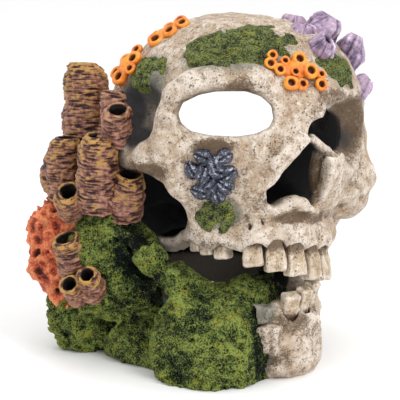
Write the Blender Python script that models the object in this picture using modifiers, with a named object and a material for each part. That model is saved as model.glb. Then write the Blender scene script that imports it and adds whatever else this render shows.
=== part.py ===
"""A bubbling aquarium ornament: a hollow cast-resin skull on a moss-covered rock base, dressed with
glued-on sponges, polyps, barnacles and mussels, with an air stone fed by a hose from a rear inlet.

Metres, +Z up. The face looks along -Y and the ornament stands on Z = 0. Every place below is in
millimetres from the middle of the skull, and centre_on_base() moves the whole to its own origin.
"""

import math

import bmesh
import bpy
from mathutils import Matrix, Vector

# Driving dimensions, in millimetres
DOME_CENTRE = Vector((3.0, -2.0, 88.0))  # middle of the braincase
DOME_RADII = Vector((50.5, 51.0, 46.5))
WALL = 6.0  # thickness of the casting
GLUE_GAP = 0.35  # clear gap between glued pieces
HOSE_OUTER = 3.0  # radius of the 4/6 mm air line
HOSE_BORE = 2.0
SPIGOT = 1.6  # radius of the spigots that the hose slides over
STONE_RADIUS = 7.0
STONE_LENGTH = 26.0
STONE_X = -6.0
STONE_Y = -16.0  # front end of the stone, which lies on the tank's floor
INLET = Vector((-12.0, 48.3, 13.0))  # where the inlet's grommet seats in the rear wall, facing +Y
INLET_BORE = 5.0  # radius of the hole through the rear wall
INLET_RECESS = 8.5  # radius of the flat recess round it
Y_AXIS = Vector((0.0, 1.0, 0.0))
MM = 0.001
MERGE = 2e-6  # closest that two corners may lie, in metres

SPHERE_STEPS = (16, 10)


# ---------------------------------------------------------------- scene


def clear_scene():
    for obj in list(bpy.data.objects):
        bpy.data.objects.remove(obj, do_unlink=True)
    for collection in list(bpy.data.collections):
        bpy.data.collections.remove(collection)


def new_collection(name):
    collection = bpy.data.collections.new(name)
    bpy.context.scene.collection.children.link(collection)
    return collection


clear_scene()
PARTS = new_collection("bubbling_ornament")
CUTTERS = new_collection("cutters")


def finish_material(name, colour, roughness, metallic=0.0):
    material = bpy.data.materials.new(name)
    material.use_nodes = True
    shader = material.node_tree.nodes["Principled BSDF"]
    shader.inputs["Base Color"].default_value = (*colour, 1.0)
    shader.inputs["Roughness"].default_value = roughness
    shader.inputs["Metallic"].default_value = metallic
    material.diffuse_color = (*colour, 1.0)
    return material


BONE = finish_material("bone_resin", (0.62, 0.53, 0.40), 0.62)
TOOTH = finish_material("tooth_resin", (0.74, 0.66, 0.50), 0.5)
MOSS = finish_material("moss", (0.14, 0.25, 0.05), 0.9)
SPONGE = finish_material("tube_sponge", (0.38, 0.22, 0.12), 0.7)
CORAL = finish_material("orange_sponge", (0.72, 0.20, 0.05), 0.75)
POLYP = finish_material("polyp_orange", (0.85, 0.33, 0.04), 0.5)
BARNACLE = finish_material("barnacle_purple", (0.42, 0.33, 0.50), 0.5)
MUSSEL = finish_material("mussel_black", (0.05, 0.06, 0.09), 0.35)
PLASTIC = finish_material("air_plastic", (0.10, 0.10, 0.11), 0.4)
RUBBER = finish_material("grommet_rubber", (0.03, 0.03, 0.03), 0.7)
HOSE = finish_material("air_hose", (0.30, 0.36, 0.36), 0.3)
STONE = finish_material("air_stone", (0.25, 0.33, 0.42), 0.95)


# ---------------------------------------------------------------- tools


def add_object(name, mesh, material=None, helper=False):
    obj = bpy.data.objects.new(name, mesh)
    if material:
        mesh.materials.clear()
        mesh.materials.append(material)
    (CUTTERS if helper else PARTS).objects.link(obj)
    if helper:
        obj.hide_render = True
        obj.display_type = "WIRE"
    return obj


def settle(obj):
    """Replaces the object's mesh by what its modifiers make of it."""
    graph = bpy.context.evaluated_depsgraph_get()
    graph.update()
    mesh = bpy.data.meshes.new_from_object(obj.evaluated_get(graph))
    obj.modifiers.clear()
    obj.data = mesh
    return obj


def sphere_mesh(bm, centre, radii, turn=(0, 0, 0), steps=SPHERE_STEPS):
    """Adds an ellipsoid to bm. turn is in degrees about X, Y and Z."""
    made = bmesh.ops.create_uvsphere(bm, u_segments=steps[0], v_segments=steps[1], radius=1.0)
    spin = (
        Matrix.Rotation(math.radians(turn[2]), 4, "Z")
        @ Matrix.Rotation(math.radians(turn[1]), 4, "Y")
        @ Matrix.Rotation(math.radians(turn[0]), 4, "X")
    )
    place_at = Matrix.Translation(Vector(centre) * MM) @ spin @ Matrix.Diagonal((*(Vector(radii) * MM), 1.0))
    bmesh.ops.transform(bm, matrix=place_at, verts=made["verts"])


def rod_mesh(bm, start, end, radius, end_radius=None, steps=SPHERE_STEPS):
    """Adds a round-ended rod, or a tapering one, to bm."""
    end_radius = radius if end_radius is None else end_radius
    a, b = Vector(start), Vector(end)
    sphere_mesh(bm, a, (radius,) * 3, steps=steps)
    sphere_mesh(bm, b, (end_radius,) * 3, steps=steps)
    made = bmesh.ops.create_cone(
        bm,
        cap_ends=True,
        segments=steps[0],
        radius1=radius * MM,
        radius2=end_radius * MM,
        depth=(b - a).length * MM,
    )
    along = Matrix.Translation((a + b) / 2 * MM) @ (b - a).to_track_quat("Z", "Y").to_matrix().to_4x4()
    bmesh.ops.transform(bm, matrix=along, verts=made["verts"])


def rods(bm, *stations):
    """A chain of rods through (point, radius) stations."""
    for (a, ra), (b, rb) in zip(stations, stations[1:]):
        rod_mesh(bm, a, b, ra, rb)


def body(name, fill, material=None, helper=False):
    """An object whose mesh is what fill(bm) adds."""
    bm = bmesh.new()
    fill(bm)
    mesh = bpy.data.meshes.new(name)
    bm.to_mesh(mesh)
    bm.free()
    return add_object(name, mesh, material, helper)


def melt(obj, voxel, smoothing=4, keep=1.0):
    """Fuses overlapping forms into one skin, smooths it, and keeps a share of its triangles."""
    remesh = obj.modifiers.new("fuse", "REMESH")
    remesh.mode = "VOXEL"
    remesh.voxel_size = voxel * MM
    if smoothing:
        smooth = obj.modifiers.new("smooth", "SMOOTH")
        smooth.factor = 0.5
        smooth.iterations = smoothing
    if keep < 1.0:
        thin = obj.modifiers.new("thin", "DECIMATE")
        thin.ratio = keep
    return settle(obj)


def combine(obj, others, operation):
    for other in others:
        boolean = obj.modifiers.new(operation.lower(), "BOOLEAN")
        boolean.operation = operation
        boolean.solver = "EXACT"
        boolean.object = other
    return settle(obj)


def cut(obj, *cutters):
    return combine(obj, cutters, "DIFFERENCE")


def join(obj, *others):
    return combine(obj, others, "UNION")


def grown(obj, by=GLUE_GAP):
    """A helper copy of obj, its skin moved out by a glue gap."""
    copy = add_object(obj.name + "_grown", obj.data.copy(), helper=True)
    swell = copy.modifiers.new("grow", "DISPLACE")
    swell.mid_level = 0.0
    swell.strength = by * MM
    return settle(copy)


def largest_body(obj):
    """Keeps the biggest of obj's separate bodies, so that a slit left by a cut can't make two."""
    bm = bmesh.new()
    bm.from_mesh(obj.data)
    bm.verts.ensure_lookup_table()
    unseen = set(bm.verts)
    groups = []
    while unseen:
        front = [unseen.pop()]
        group = list(front)
        while front:
            vert = front.pop()
            near = [e.other_vert(vert) for e in vert.link_edges]
            fresh = [v for v in near if v in unseen]
            unseen.difference_update(fresh)
            front.extend(fresh)
            group.extend(fresh)
        groups.append(group)
    groups.sort(key=len)
    for group in groups[:-1]:
        bmesh.ops.delete(bm, geom=group, context="VERTS")
    bmesh.ops.remove_doubles(bm, verts=bm.verts, dist=MERGE)
    bmesh.ops.dissolve_degenerate(bm, edges=bm.edges, dist=MERGE)
    bm.to_mesh(obj.data)
    bm.free()
    return obj


def drop(*helpers):
    for helper in helpers:
        bpy.data.objects.remove(helper, do_unlink=True)


def block(bm, low, high):
    """Adds a box between two corners to bm."""
    low, high = Vector(low) * MM, Vector(high) * MM
    made = bmesh.ops.create_cube(bm, size=1.0)
    shape = Matrix.Translation((low + high) / 2) @ Matrix.Diagonal((*(high - low), 1.0))
    bmesh.ops.transform(bm, matrix=shape, verts=made["verts"])


def turned(name, profile, base, top, material=None, steps=12, helper=False):
    """A turned solid. profile lists (radius, height), up the bore and down the outside, back to its start
    where there is a bore; its foot is at base and its axis points at top."""
    mesh = bpy.data.meshes.new(name)
    points = [(r * MM, 0.0, z * MM) for r, z in profile]
    mesh.from_pydata(points, [(i, i + 1) for i in range(len(points) - 1)], [])
    obj = add_object(name, mesh, material, helper)
    screw = obj.modifiers.new("turn", "SCREW")
    screw.steps = screw.render_steps = steps
    screw.use_merge_vertices = True
    screw.merge_threshold = 1e-5
    weld = obj.modifiers.new("close", "WELD")
    weld.merge_threshold = 1e-6
    settle(obj)
    axis = Vector(top) - Vector(base)
    obj.data.transform(Matrix.Translation(Vector(base) * MM) @ axis.to_track_quat("Z", "Y").to_matrix().to_4x4())
    return obj


def outline_prism(name, outline, near, far, helper=True):
    """A flat outline in X and Z, extruded from Y = near to Y = far."""
    curve = bpy.data.curves.new(name, "CURVE")
    curve.dimensions = "2D"
    curve.fill_mode = "BOTH"
    curve.extrude = abs(far - near) / 2 * MM
    spline = curve.splines.new("POLY")
    spline.points.add(len(outline) - 1)
    for point, (x, z) in zip(spline.points, outline):
        point.co = (x * MM, z * MM, 0.0, 1.0)
    spline.use_cyclic_u = True
    source = bpy.data.objects.new(name + "_curve", curve)
    CUTTERS.objects.link(source)
    graph = bpy.context.evaluated_depsgraph_get()
    graph.update()
    mesh = bpy.data.meshes.new_from_object(source.evaluated_get(graph))
    bpy.data.objects.remove(source)
    bm = bmesh.new()
    bm.from_mesh(mesh)
    bmesh.ops.remove_doubles(bm, verts=bm.verts, dist=1e-6)
    bmesh.ops.transform(
        bm,
        matrix=Matrix.Translation((0.0, (near + far) / 2 * MM, 0.0)) @ Matrix.Rotation(math.radians(90), 4, "X"),
        verts=bm.verts,
    )
    bmesh.ops.recalc_face_normals(bm, faces=bm.faces)
    bm.to_mesh(mesh)
    bm.free()
    return add_object(name, mesh, helper=helper)


# ---------------------------------------------------------------- skull


def skull_bone(bm):
    """The skull's masses, fused by melt(). The right side is -X."""
    sphere_mesh(bm, DOME_CENTRE, DOME_RADII, steps=(40, 24))
    sphere_mesh(bm, (18, -16, 104), (28, 26, 25))  # frontal boss
    sphere_mesh(bm, (-12, -16, 101), (26, 21, 21))
    sphere_mesh(bm, (2, 12, 62), (43, 38, 27))  # nape and temples, down to the base
    # right brow, outer rim of the orbit, lower rim
    rods(bm, ((-5, -37, 107), 7), ((-18, -36, 113), 6.5), ((-33, -30, 114), 6.5), ((-46, -20, 108), 5.5))
    rods(bm, ((-46, -20, 108), 5.5), ((-49, -24, 98), 4.5), ((-47, -24, 88), 6))
    rods(bm, ((-47, -24, 88), 5.5), ((-28, -30, 87), 4.5), ((-9, -34, 90), 5))
    # left brow, outer rim and lower rim, which sit lower
    rods(bm, ((5, -36, 105), 7), ((18, -35, 108), 6.5), ((34, -31, 105), 6), ((47, -23, 97), 5.5))
    rods(bm, ((47, -23, 97), 5.5), ((49, -25, 84), 4), ((46, -30, 69), 6.5))
    rods(bm, ((46, -30, 69), 6), ((30, -34, 67), 5), ((11, -35, 80), 4))
    # bridge of the nose and nasal bone
    rods(bm, ((0, -33, 108), 9), ((0, -37, 98), 5.5), ((0, -44, 92), 3.5))
    rods(bm, ((-4, -40, 93), 3.5), ((-12, -38, 82), 3.5), ((-17, -35, 68), 5))
    rods(bm, ((4, -41, 93), 3.5), ((11, -41, 80), 3.5), ((17, -40, 66), 5))
    # cheekbones and arches
    sphere_mesh(bm, (-32, -23, 78), (14, 8.5, 12))
    sphere_mesh(bm, (-48, -12, 84), (5, 18, 8))
    sphere_mesh(bm, (-27, -22, 66), (10, 9, 15))
    sphere_mesh(bm, (39, -28, 62), (10, 9, 10))
    sphere_mesh(bm, (47, -12, 66), (5, 20, 13))
    sphere_mesh(bm, (42, -4, 54), (8, 18, 14))
    sphere_mesh(bm, (24, -25, 60), (12, 9, 13))
    # upper jaw and its tooth ridge
    sphere_mesh(bm, (0, -30, 62), (23, 13, 15))
    rods(
        bm,
        ((-27, -14, 57), 6),
        ((-24, -26, 56), 6.5),
        ((-15, -36, 55), 6.5),
        ((0, -41, 53), 6.5),
        ((12, -39, 51), 6.5),
        ((20, -33, 50), 6.5),
        ((26, -18, 50), 6),
    )
    rods(bm, ((-12, -40, 65), 3.5), ((0, -42, 64), 4), ((11, -41, 62), 3.5))  # sill under the nose


def skull_hollow(bm):
    sphere_mesh(bm, DOME_CENTRE, [r - WALL for r in DOME_RADII], steps=(18, 10))


def skull_lower_hollow(bm):
    sphere_mesh(bm, (1, 10, 56), (37, 33, 30), steps=(16, 10))


def mouth_hollow(bm):
    sphere_mesh(bm, (0, -8, 60), (21, 24, 25), steps=(14, 8))


def orbits(bm):
    """The holes of the orbits. The left one hangs lower towards the cheek."""
    for centre in ((-18, -36, 99.5), (-27, -34, 100), (-36, -32, 100.5)):
        sphere_mesh(bm, centre, (10, 26, 8.6))
    for centre in ((16, -36, 93), (27, -34, 89), (35, -34, 83)):
        sphere_mesh(bm, centre, (10, 28, 11), turn=(0, 0, -20))


def orbit_bowls(bm):
    """The hooded outer bowls of the orbits, over the holes themselves."""
    sphere_mesh(bm, (-27, -44, 103), (20, 13, 11.5), turn=(0, 4, -14))
    sphere_mesh(bm, (27, -46, 89), (21, 16, 14), turn=(0, 22, 10))
    sphere_mesh(bm, (17, -50, 95), (12, 20, 8.5))


def temples(bm):
    sphere_mesh(bm, (-53, -7, 103), (11, 12, 16))
    sphere_mesh(bm, (58, -4, 94), (9, 13, 15))


def side_window(bm):
    """The swim-through under the right cheekbone."""
    sphere_mesh(bm, (-48, -3, 57), (21, 23, 21))


def rear_window(bm):
    """The swim-through at the back left, in line with the right orbit."""
    sphere_mesh(bm, (30, 36, 85), (19, 30, 17), turn=(0, 0, -38))


def open_underside(bm):
    block(bm, (-70, -70, -10), (70, 70, 42))


def palate(bm):
    """Clears the tooth row's underside."""
    block(bm, (-24, -30, 30), (24, 20, 51))


NOSE = (
    (0, 93), (-6, 86), (-12, 79), (-17, 72), (-16, 67), (-9, 63), (-5, 67), (0, 69),
    (4, 66), (8, 61), (13, 62), (13.5, 69), (8.5, 79), (4, 88),
)  # fmt: skip


def make_skull():
    """(the shell, the solid form that neighbours are cut back from)"""
    solid = melt(body("skull_form", skull_bone, helper=True), voxel=2.2, smoothing=4, keep=0.055)
    floor = body("floor_cut", open_underside, helper=True)
    cut(solid, floor)
    shell = add_object("upper_skull", solid.data.copy(), BONE)
    cutters = [
        body("hollow", skull_hollow, helper=True),
        body("lower_hollow", skull_lower_hollow, helper=True),
        body("mouth_hollow", mouth_hollow, helper=True),
        body("palate_cut", palate, helper=True),
        melt(body("orbit_bowl_cut", orbit_bowls, helper=True), voxel=1.8, smoothing=1, keep=0.08),
        melt(body("orbit_cut", orbits, helper=True), voxel=1.6, smoothing=2, keep=0.08),
        body("temple_cut", temples, helper=True),
        body("side_window_cut", side_window, helper=True),
        body("rear_window_cut", rear_window, helper=True),
        outline_prism("nose_cut", NOSE, -70, -20),
    ]
    cut(shell, *cutters)
    drop(floor, *cutters)
    return largest_body(shell), solid


# ---------------------------------------------------------------- jaw and base


def jaw_bone(bm):
    """The lower jaw stands on the floor as part of the base's front."""
    sphere_mesh(bm, (-2, -39, 13), (15, 12.5, 15))
    sphere_mesh(bm, (-3, -40.5, 6), (15, 11, 9))
    rods(bm, ((-7, -41, 20), 6.2), ((4, -41, 22), 6), ((10, -36, 24), 5))
    rods(bm, ((-17, -37.5, 24.6), 3.6), ((-8, -41.5, 25), 3.8))  # the shelf over the chin's corner
    rods(bm, ((3, -38, 16), 8), ((16, -27, 19), 8), ((29, -9, 24), 7.5), ((34, 4, 36), 6.5))


def base_rock(bm):
    """The moss-covered rock ring, up to the underside of the skull."""
    sphere_mesh(bm, (-25, -24, 9.5), (24.5, 23, 24))  # front mound
    sphere_mesh(bm, (-14, -30, 14), (15, 13, 19))
    sphere_mesh(bm, (-7, -29, 27), (13, 9, 10))
    rods(bm, ((-46, 2, 52), 5), ((-42, -9, 45), 5), ((-36, -16, 36), 5.5), ((-30, -20, 27), 7))  # rim up to the cheek
    sphere_mesh(bm, (-34, 11, 33), (13, 13, 25))
    sphere_mesh(bm, (-32, 27, 12), (16, 11, 16))
    sphere_mesh(bm, (-44, 33, 16), (17, 13, 21))  # right lobe
    sphere_mesh(bm, (-46, 20, 38), (15, 15, 22))
    rods(bm, ((-43, 12, 32), 13), ((-42, 15, 58), 11))  # column under the sponges
    sphere_mesh(bm, (-42, 32, 48), (14, 14, 22))
    rods(bm, ((-36, 35, 18), 15), ((-10, 39, 15), 14), ((18, 37, 15), 13), ((31, 20, 15), 12))  # rear wall
    rods(bm, ((-36, 35, 38), 13), ((-10, 37, 35), 12), ((16, 35, 35), 12), ((30, 18, 33), 11))
    rods(bm, ((31, 20, 12), 11), ((31, 3, 12), 9), ((20, -17, 10), 9))


def base_hollow(bm):
    sphere_mesh(bm, (-3, 5, 34), (30, 33, 38), steps=(28, 16))
    sphere_mesh(bm, (-5, 8, 5), (27, 29, 24), steps=(28, 16))


def floor_arch(bm):
    """The low swim-through at the back left."""
    sphere_mesh(bm, (26, 42, 4), (17, 26, 18), turn=(0, 0, -38))


def under_cheek(bm):
    """Bares the rock's rim under the cheekbone."""
    rods(bm, ((-39.4, -12.9, 70.4), 14), ((-24.4, -29.0, 50.0), 14))


def below_floor(bm):
    block(bm, (-90, -90, -60), (90, 90, 0))


def make_base(skull_solid):
    """(lower jaw, moss base)"""
    under = body("under", below_floor, helper=True)
    hollow = melt(body("base_hollow", base_hollow, helper=True), voxel=3.0, smoothing=2, keep=0.06)
    skull_room = grown(skull_solid)
    jaw = melt(body("lower_jaw", jaw_bone, BONE), voxel=1.8, smoothing=3, keep=0.05)
    cut(jaw, under, hollow, skull_room)
    largest_body(jaw)
    jaw_room = grown(jaw, 2 * GLUE_GAP)
    base = melt(body("moss_base", base_rock, MOSS), voxel=2.6, smoothing=4, keep=0.06)
    arch = body("arch", floor_arch, helper=True)
    cheek = melt(body("cheek_cut", under_cheek, helper=True), voxel=2.0, smoothing=1, keep=0.08)
    bores = []
    for radius, start, length in ((INLET_BORE, INLET - Y_AXIS * 24, 54), (INLET_RECESS, INLET, 30)):
        bore = [(0, length), (radius, length), (radius, 0), (0, 0)]
        bores.append(turned("bore", bore, start, start + Y_AXIS, steps=20, helper=True))
    cut(base, under, hollow, arch, cheek, skull_room, jaw_room, *bores)
    drop(under, hollow, arch, cheek, skull_room, jaw_room, *bores)
    return jaw, largest_body(base)


# ---------------------------------------------------------------- teeth


def tooth(name, tip, root, width, depth, turn):
    """A square-cornered tooth from its biting edge at tip to its root. turn, in degrees clockwise from X,
    sets the way its width runs."""
    tip_at, root_at = Vector(tip), Vector(root)
    up = (root_at - tip_at).normalized()
    across = Vector((math.cos(math.radians(turn)), -math.sin(math.radians(turn)), 0.0))
    inward = up.cross(across).normalized()
    across = inward.cross(up)
    middle = (tip_at + root_at) / 2

    def fill(bm):
        made = bmesh.ops.create_uvsphere(bm, u_segments=8, v_segments=6, radius=1.0)
        for vert in made["verts"]:
            x, y, z = vert.co
            around = math.hypot(x, y)
            square = (abs(x) ** 4 + abs(y) ** 4) ** 0.25
            swell = math.sqrt(around) / square if square > 1e-6 else 0.0
            narrow = 1.0 - 0.12 * z
            height = math.copysign(math.sqrt(abs(z)), z) * (root_at - tip_at).length / 2
            place = middle + up * height
            place += across * (x * swell * narrow * width / 2) + inward * (y * swell * depth / 2)
            vert.co = place * MM

    return body(name, fill, TOOTH)


# (x, y) on the arch, width and turn; the row's left end hangs lower
UPPER_TEETH = (
    (-26.0, -16.5, 5.0, 82), (-25.0, -22.0, 5.0, 76), (-22.8, -27.4, 5.5, 66),
    (-17.0, -38.0, 7.4, 38), (-11.0, -43.4, 7.4, 28), (-3.9, -46.6, 7.0, 10),
    (4.0, -46.8, 6.6, -12), (11.0, -44.4, 6.4, -28), (17.0, -39.6, 6.4, -48), (20.4, -33.0, 6.0, -66),
)  # fmt: skip
LOWER_TEETH = ((-5.0, -46.6, 6.8, 14), (1.6, -47.2, 4.8, 0), (6.4, -45.6, 4.4, -22), (10.2, -41.8, 4.4, -50))


def make_teeth():
    upper = []
    for number, (x, y, width, turn) in enumerate(UPPER_TEETH, 1):
        tip = 38.2 - 0.3 * x
        root = 52.5 - 0.15 * x
        inward = Vector((-0.04 * x, 2.0, 0))
        upper.append(
            tooth(f"upper_tooth_{number:02}", (x, y, tip), Vector((x, y, root)) + inward, width, 5.6, turn)
        )
    lower = []
    for number, (x, y, width, turn) in enumerate(LOWER_TEETH, 1):
        lower.append(tooth(f"lower_tooth_{number}", (x, y, 34.8), (x * 0.9, y + 3.0, 21.0), width, 5.0, turn))
    for row in (upper, lower):
        for beside, each in zip(row, row[1:]):
            room = grown(beside)
            cut(each, room)
            drop(room)
    return upper, lower


def socket(bone, teeth):
    """Cuts a socket for each tooth."""
    for each in teeth:
        room = grown(each)
        cut(bone, room)
        drop(room)
    largest_body(bone)


# ---------------------------------------------------------------- glued-on decor


def extent(obj):
    points = [v.co for v in obj.data.vertices]
    low = Vector([min(p[i] for p in points) for i in range(3)])
    high = Vector([max(p[i] for p in points) for i in range(3)])
    return low, high


def near(a, b):
    """True where the boxes around a and b come within a glue gap of each other."""
    (low_a, high_a), (low_b, high_b) = extent(a), extent(b)
    margin = 2 * GLUE_GAP * MM
    return all(low_a[i] - margin < high_b[i] and low_b[i] - margin < high_a[i] for i in range(3))


GLUED = []


def seat(piece):
    """Cuts the piece back from the skull, the base and what was glued on before it."""
    for other in [skull_form, lower_jaw, moss_base, *GLUED]:
        if near(piece, other):
            room = grown(other)
            cut(piece, room)
            drop(room)
    GLUED.append(largest_body(piece))
    return piece


def tube_sponge(name, base, top, radius):
    """An upright tube with a mouth at its top."""
    height = (Vector(top) - Vector(base)).length
    profile = [
        (0, 0.5 * height),
        (0.40 * radius, 0.54 * height),
        (0.46 * radius, height),
        (0.72 * radius, 1.02 * height),
        (0.96 * radius, 0.93 * height),
        (radius, 0.6 * height),
        (0.92 * radius, 0.25 * height),
        (0.85 * radius, 0),
        (0, 0),
    ]
    return seat(turned(name, profile, base, top, SPONGE, steps=10))


TUBE_SPONGES = (
    ((-43.8, 38, 66), (-38.4, 42.6, 114.5), 9.0),
    ((-46.5, 12, 88), (-43.5, 13.5, 106), 5.8),
    ((-47, 7, 88), (-50.5, 1.5, 100.5), 5.6),
    ((-52, 36, 60), (-52.2, 34.9, 86.3), 6.0),
    ((-51.5, 13.5, 60), (-52.8, 9.8, 90.5), 7.2),
    ((-53, 29, 56), (-60.6, 21, 68), 5.5),
    ((-44.5, 8, 58), (-45.5, 1.5, 76), 6.6),
    ((-56, 22, 34), (-63.2, 20, 50), 6.5),
    ((-58, 20, 25), (-67, 11.5, 34.3), 4.2),
    ((-54, 13, 27), (-62.6, 5.5, 38.5), 4.6),
)


def make_sponges():
    for number, (base, top, radius) in enumerate(TUBE_SPONGES, 1):
        tube_sponge(f"tube_sponge_{number:02}", base, top, radius)

    def bulb(bm):
        sphere_mesh(bm, (-53.5, 44, 70), (4.6, 4.6, 9), steps=(12, 8))
        sphere_mesh(bm, (-49, 42, 62), (6, 6, 6), steps=(12, 8))

    seat(melt(body("sponge_bulb", bulb, SPONGE), voxel=1.4, smoothing=2, keep=0.2))

    def orange(bm):
        rods(bm, ((-52, 38, 60), 6), ((-59, 37, 50), 8), ((-60, 36, 36), 8), ((-56, 31, 24), 6))
        sphere_mesh(bm, (-57, 30, 42), (7, 7, 12))
        sphere_mesh(bm, (-53, 28, 56), (5, 6, 6))

    seat(melt(body("orange_sponge", orange, CORAL), voxel=2.0, smoothing=1, keep=0.08))


CUP_ROOT = 1.6  # how far a polyp's foot is sunk in its mat


def polyp_patch(name, middle, spread, cups, lift):
    """Ringed polyps on one mat. cups lists (foot, radius); each leans away from lift, a point inside."""
    mat = body(name, lambda bm: sphere_mesh(bm, middle, spread, steps=(12, 8)), POLYP)
    rings = []
    for foot, r in cups:
        out = (Vector(foot) - Vector(lift)).normalized()
        profile = [(0, 3.2), (0.36 * r, 3.4), (0.42 * r, 5.0), (0.8 * r, 5.2), (r, 4.2), (0.8 * r, 0), (0, 0)]
        sunk = Vector(foot) - out * CUP_ROOT
        rings.append(turned("cup", profile, sunk, sunk + out, steps=8, helper=True))
    join(mat, *rings)
    drop(*rings)
    return seat(mat)


CROWN_POLYPS = (
    ((-29.5, 5.5, 122.2), 2.7), ((-27.6, 10.2, 122.4), 2.7), ((-24.4, 6.8, 125.8), 2.9),
    ((-20.2, 8.6, 127.6), 2.7), ((-19.2, 3.2, 129.4), 2.9), ((-24.6, 1.2, 126.6), 2.6),
)  # fmt: skip
TEMPLE_POLYPS = (
    ((-41.0, 10.5, 107.4), 3.1), ((-39.6, 15.4, 108.6), 2.8), ((-37.0, 12.4, 112.8), 3.0),
    ((-36.8, 18.0, 110.6), 2.6), ((-33.6, 15.2, 116.0), 2.9), ((-34.4, 9.4, 117.0), 2.6),
)  # fmt: skip
BROW_POLYPS = (
    ((-8.6, -36.6, 120.2), 2.3), ((-10.8, -39.2, 117.0), 2.3), ((-4.0, -38.6, 119.2), 2.4),
    ((-7.2, -41.4, 115.4), 2.4), ((2.8, -39.4, 119.4), 2.4), ((-1.6, -42.2, 115.6), 2.5),
    ((4.0, -43.0, 115.0), 3.2), ((-6.0, -44.6, 111.4), 2.9), ((-0.6, -45.6, 110.8), 2.5),
    ((6.6, -46.2, 109.8), 2.6), ((8.6, -43.6, 113.6), 2.0),
)  # fmt: skip


def make_polyps():
    inside = DOME_CENTRE - Vector((0, 0, 10))
    polyp_patch("crown_polyps", (-24.5, 6.0, 124.5), (7.5, 6.5, 5.0), CROWN_POLYPS, inside)
    polyp_patch("temple_polyps", (-37.0, 13.0, 111.5), (6.0, 6.5, 7.5), TEMPLE_POLYPS, inside)
    polyp_patch("brow_polyps", (-1.0, -40.5, 114.0), (10.5, 5.0, 6.5), BROW_POLYPS, inside + Vector((0, 0, 10)))


def barnacle(name, base, top, radius):
    height = (Vector(top) - Vector(base)).length
    profile = [
        (0, 0.6 * height),
        (0.22 * radius, 0.64 * height),
        (0.30 * radius, height),
        (0.52 * radius, 0.98 * height),
        (0.95 * radius, 0.55 * height),
        (radius, 0.25 * height),
        (0.8 * radius, 0),
        (0, 0),
    ]
    return seat(turned(name, profile, base, top, BARNACLE, steps=10))


BARNACLES = (
    ((16, -23, 120), (17.5, -27, 131), 4.4),
    ((23, -12, 121), (25, -13, 133), 4.4),
    ((27, -19, 119), (33.5, -24, 133), 6.6),
    ((17.5, -32, 118), (17, -40, 126.5), 4.6),
    ((36, -25, 110), (42.5, -29.5, 125.5), 6.2),
    ((38, -27, 98), (47.5, -31, 108.5), 4.6),
)


def make_barnacles():
    for number, (base, top, radius) in enumerate(BARNACLES, 1):
        barnacle(f"barnacle_{number}", base, top, radius)


# (middle, turn about the cheek's normal)
MUSSELS = (
    ((-39.2, -31.0, 84.6), 20), ((-36.8, -34.0, 86.8), -35), ((-33.4, -36.8, 86.8), 70), ((-39.4, -30.8, 80.0), 60),
    ((-36.0, -34.4, 81.8), 10), ((-32.4, -37.6, 82.2), -20), ((-37.4, -31.8, 75.4), 80), ((-34.0, -34.8, 77.0), -40),
    ((-30.8, -38.0, 77.4), 30), ((-34.2, -33.0, 72.0), 15), ((-30.4, -36.6, 72.4), 75),
)  # fmt: skip


def make_mussels():
    def shells(bm):
        for middle, turn in MUSSELS:
            sphere_mesh(bm, middle, (3.4, 2.6, 2.4), turn=(0, turn, -50), steps=(10, 6))
        sphere_mesh(bm, (-34.6, -33.4, 79.4), (5.5, 3.5, 8.5), turn=(0, 0, -50), steps=(12, 8))

    seat(melt(body("mussel_cluster", shells, MUSSEL), voxel=0.9, smoothing=0, keep=0.12))


MOSS_DEPTH = 2.2  # thickness of a moss pad, its glue gap included
MOSS_PADS = (
    ("forehead_moss", (-11, -28, 122.5), (24, 14, 11)),
    ("left_brow_moss", (21, -37, 115), (11, 8, 8)),
    ("temple_moss", (-38, 0, 114), (6.5, 9, 8)),
    ("cheek_moss", (-29, -33, 64.5), (9, 7, 6)),
)


def make_moss_pads():
    """Patches of moss 2 mm thick that follow the bone."""
    for name, middle, spread in MOSS_PADS:
        pad = body(name, lambda bm: sphere_mesh(bm, middle, spread), MOSS)
        skin = grown(skull_form, MOSS_DEPTH)
        combine(pad, [skin], "INTERSECT")
        drop(skin)
        seat(pad)


def make_jaw_block():
    """The corner of the chin that a crack parts from the rest."""
    seat(body("chin_block", lambda bm: sphere_mesh(bm, (-13.6, -44.2, 16.2), (6.8, 5.8, 7.4)), BONE))


# ---------------------------------------------------------------- air line


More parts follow.
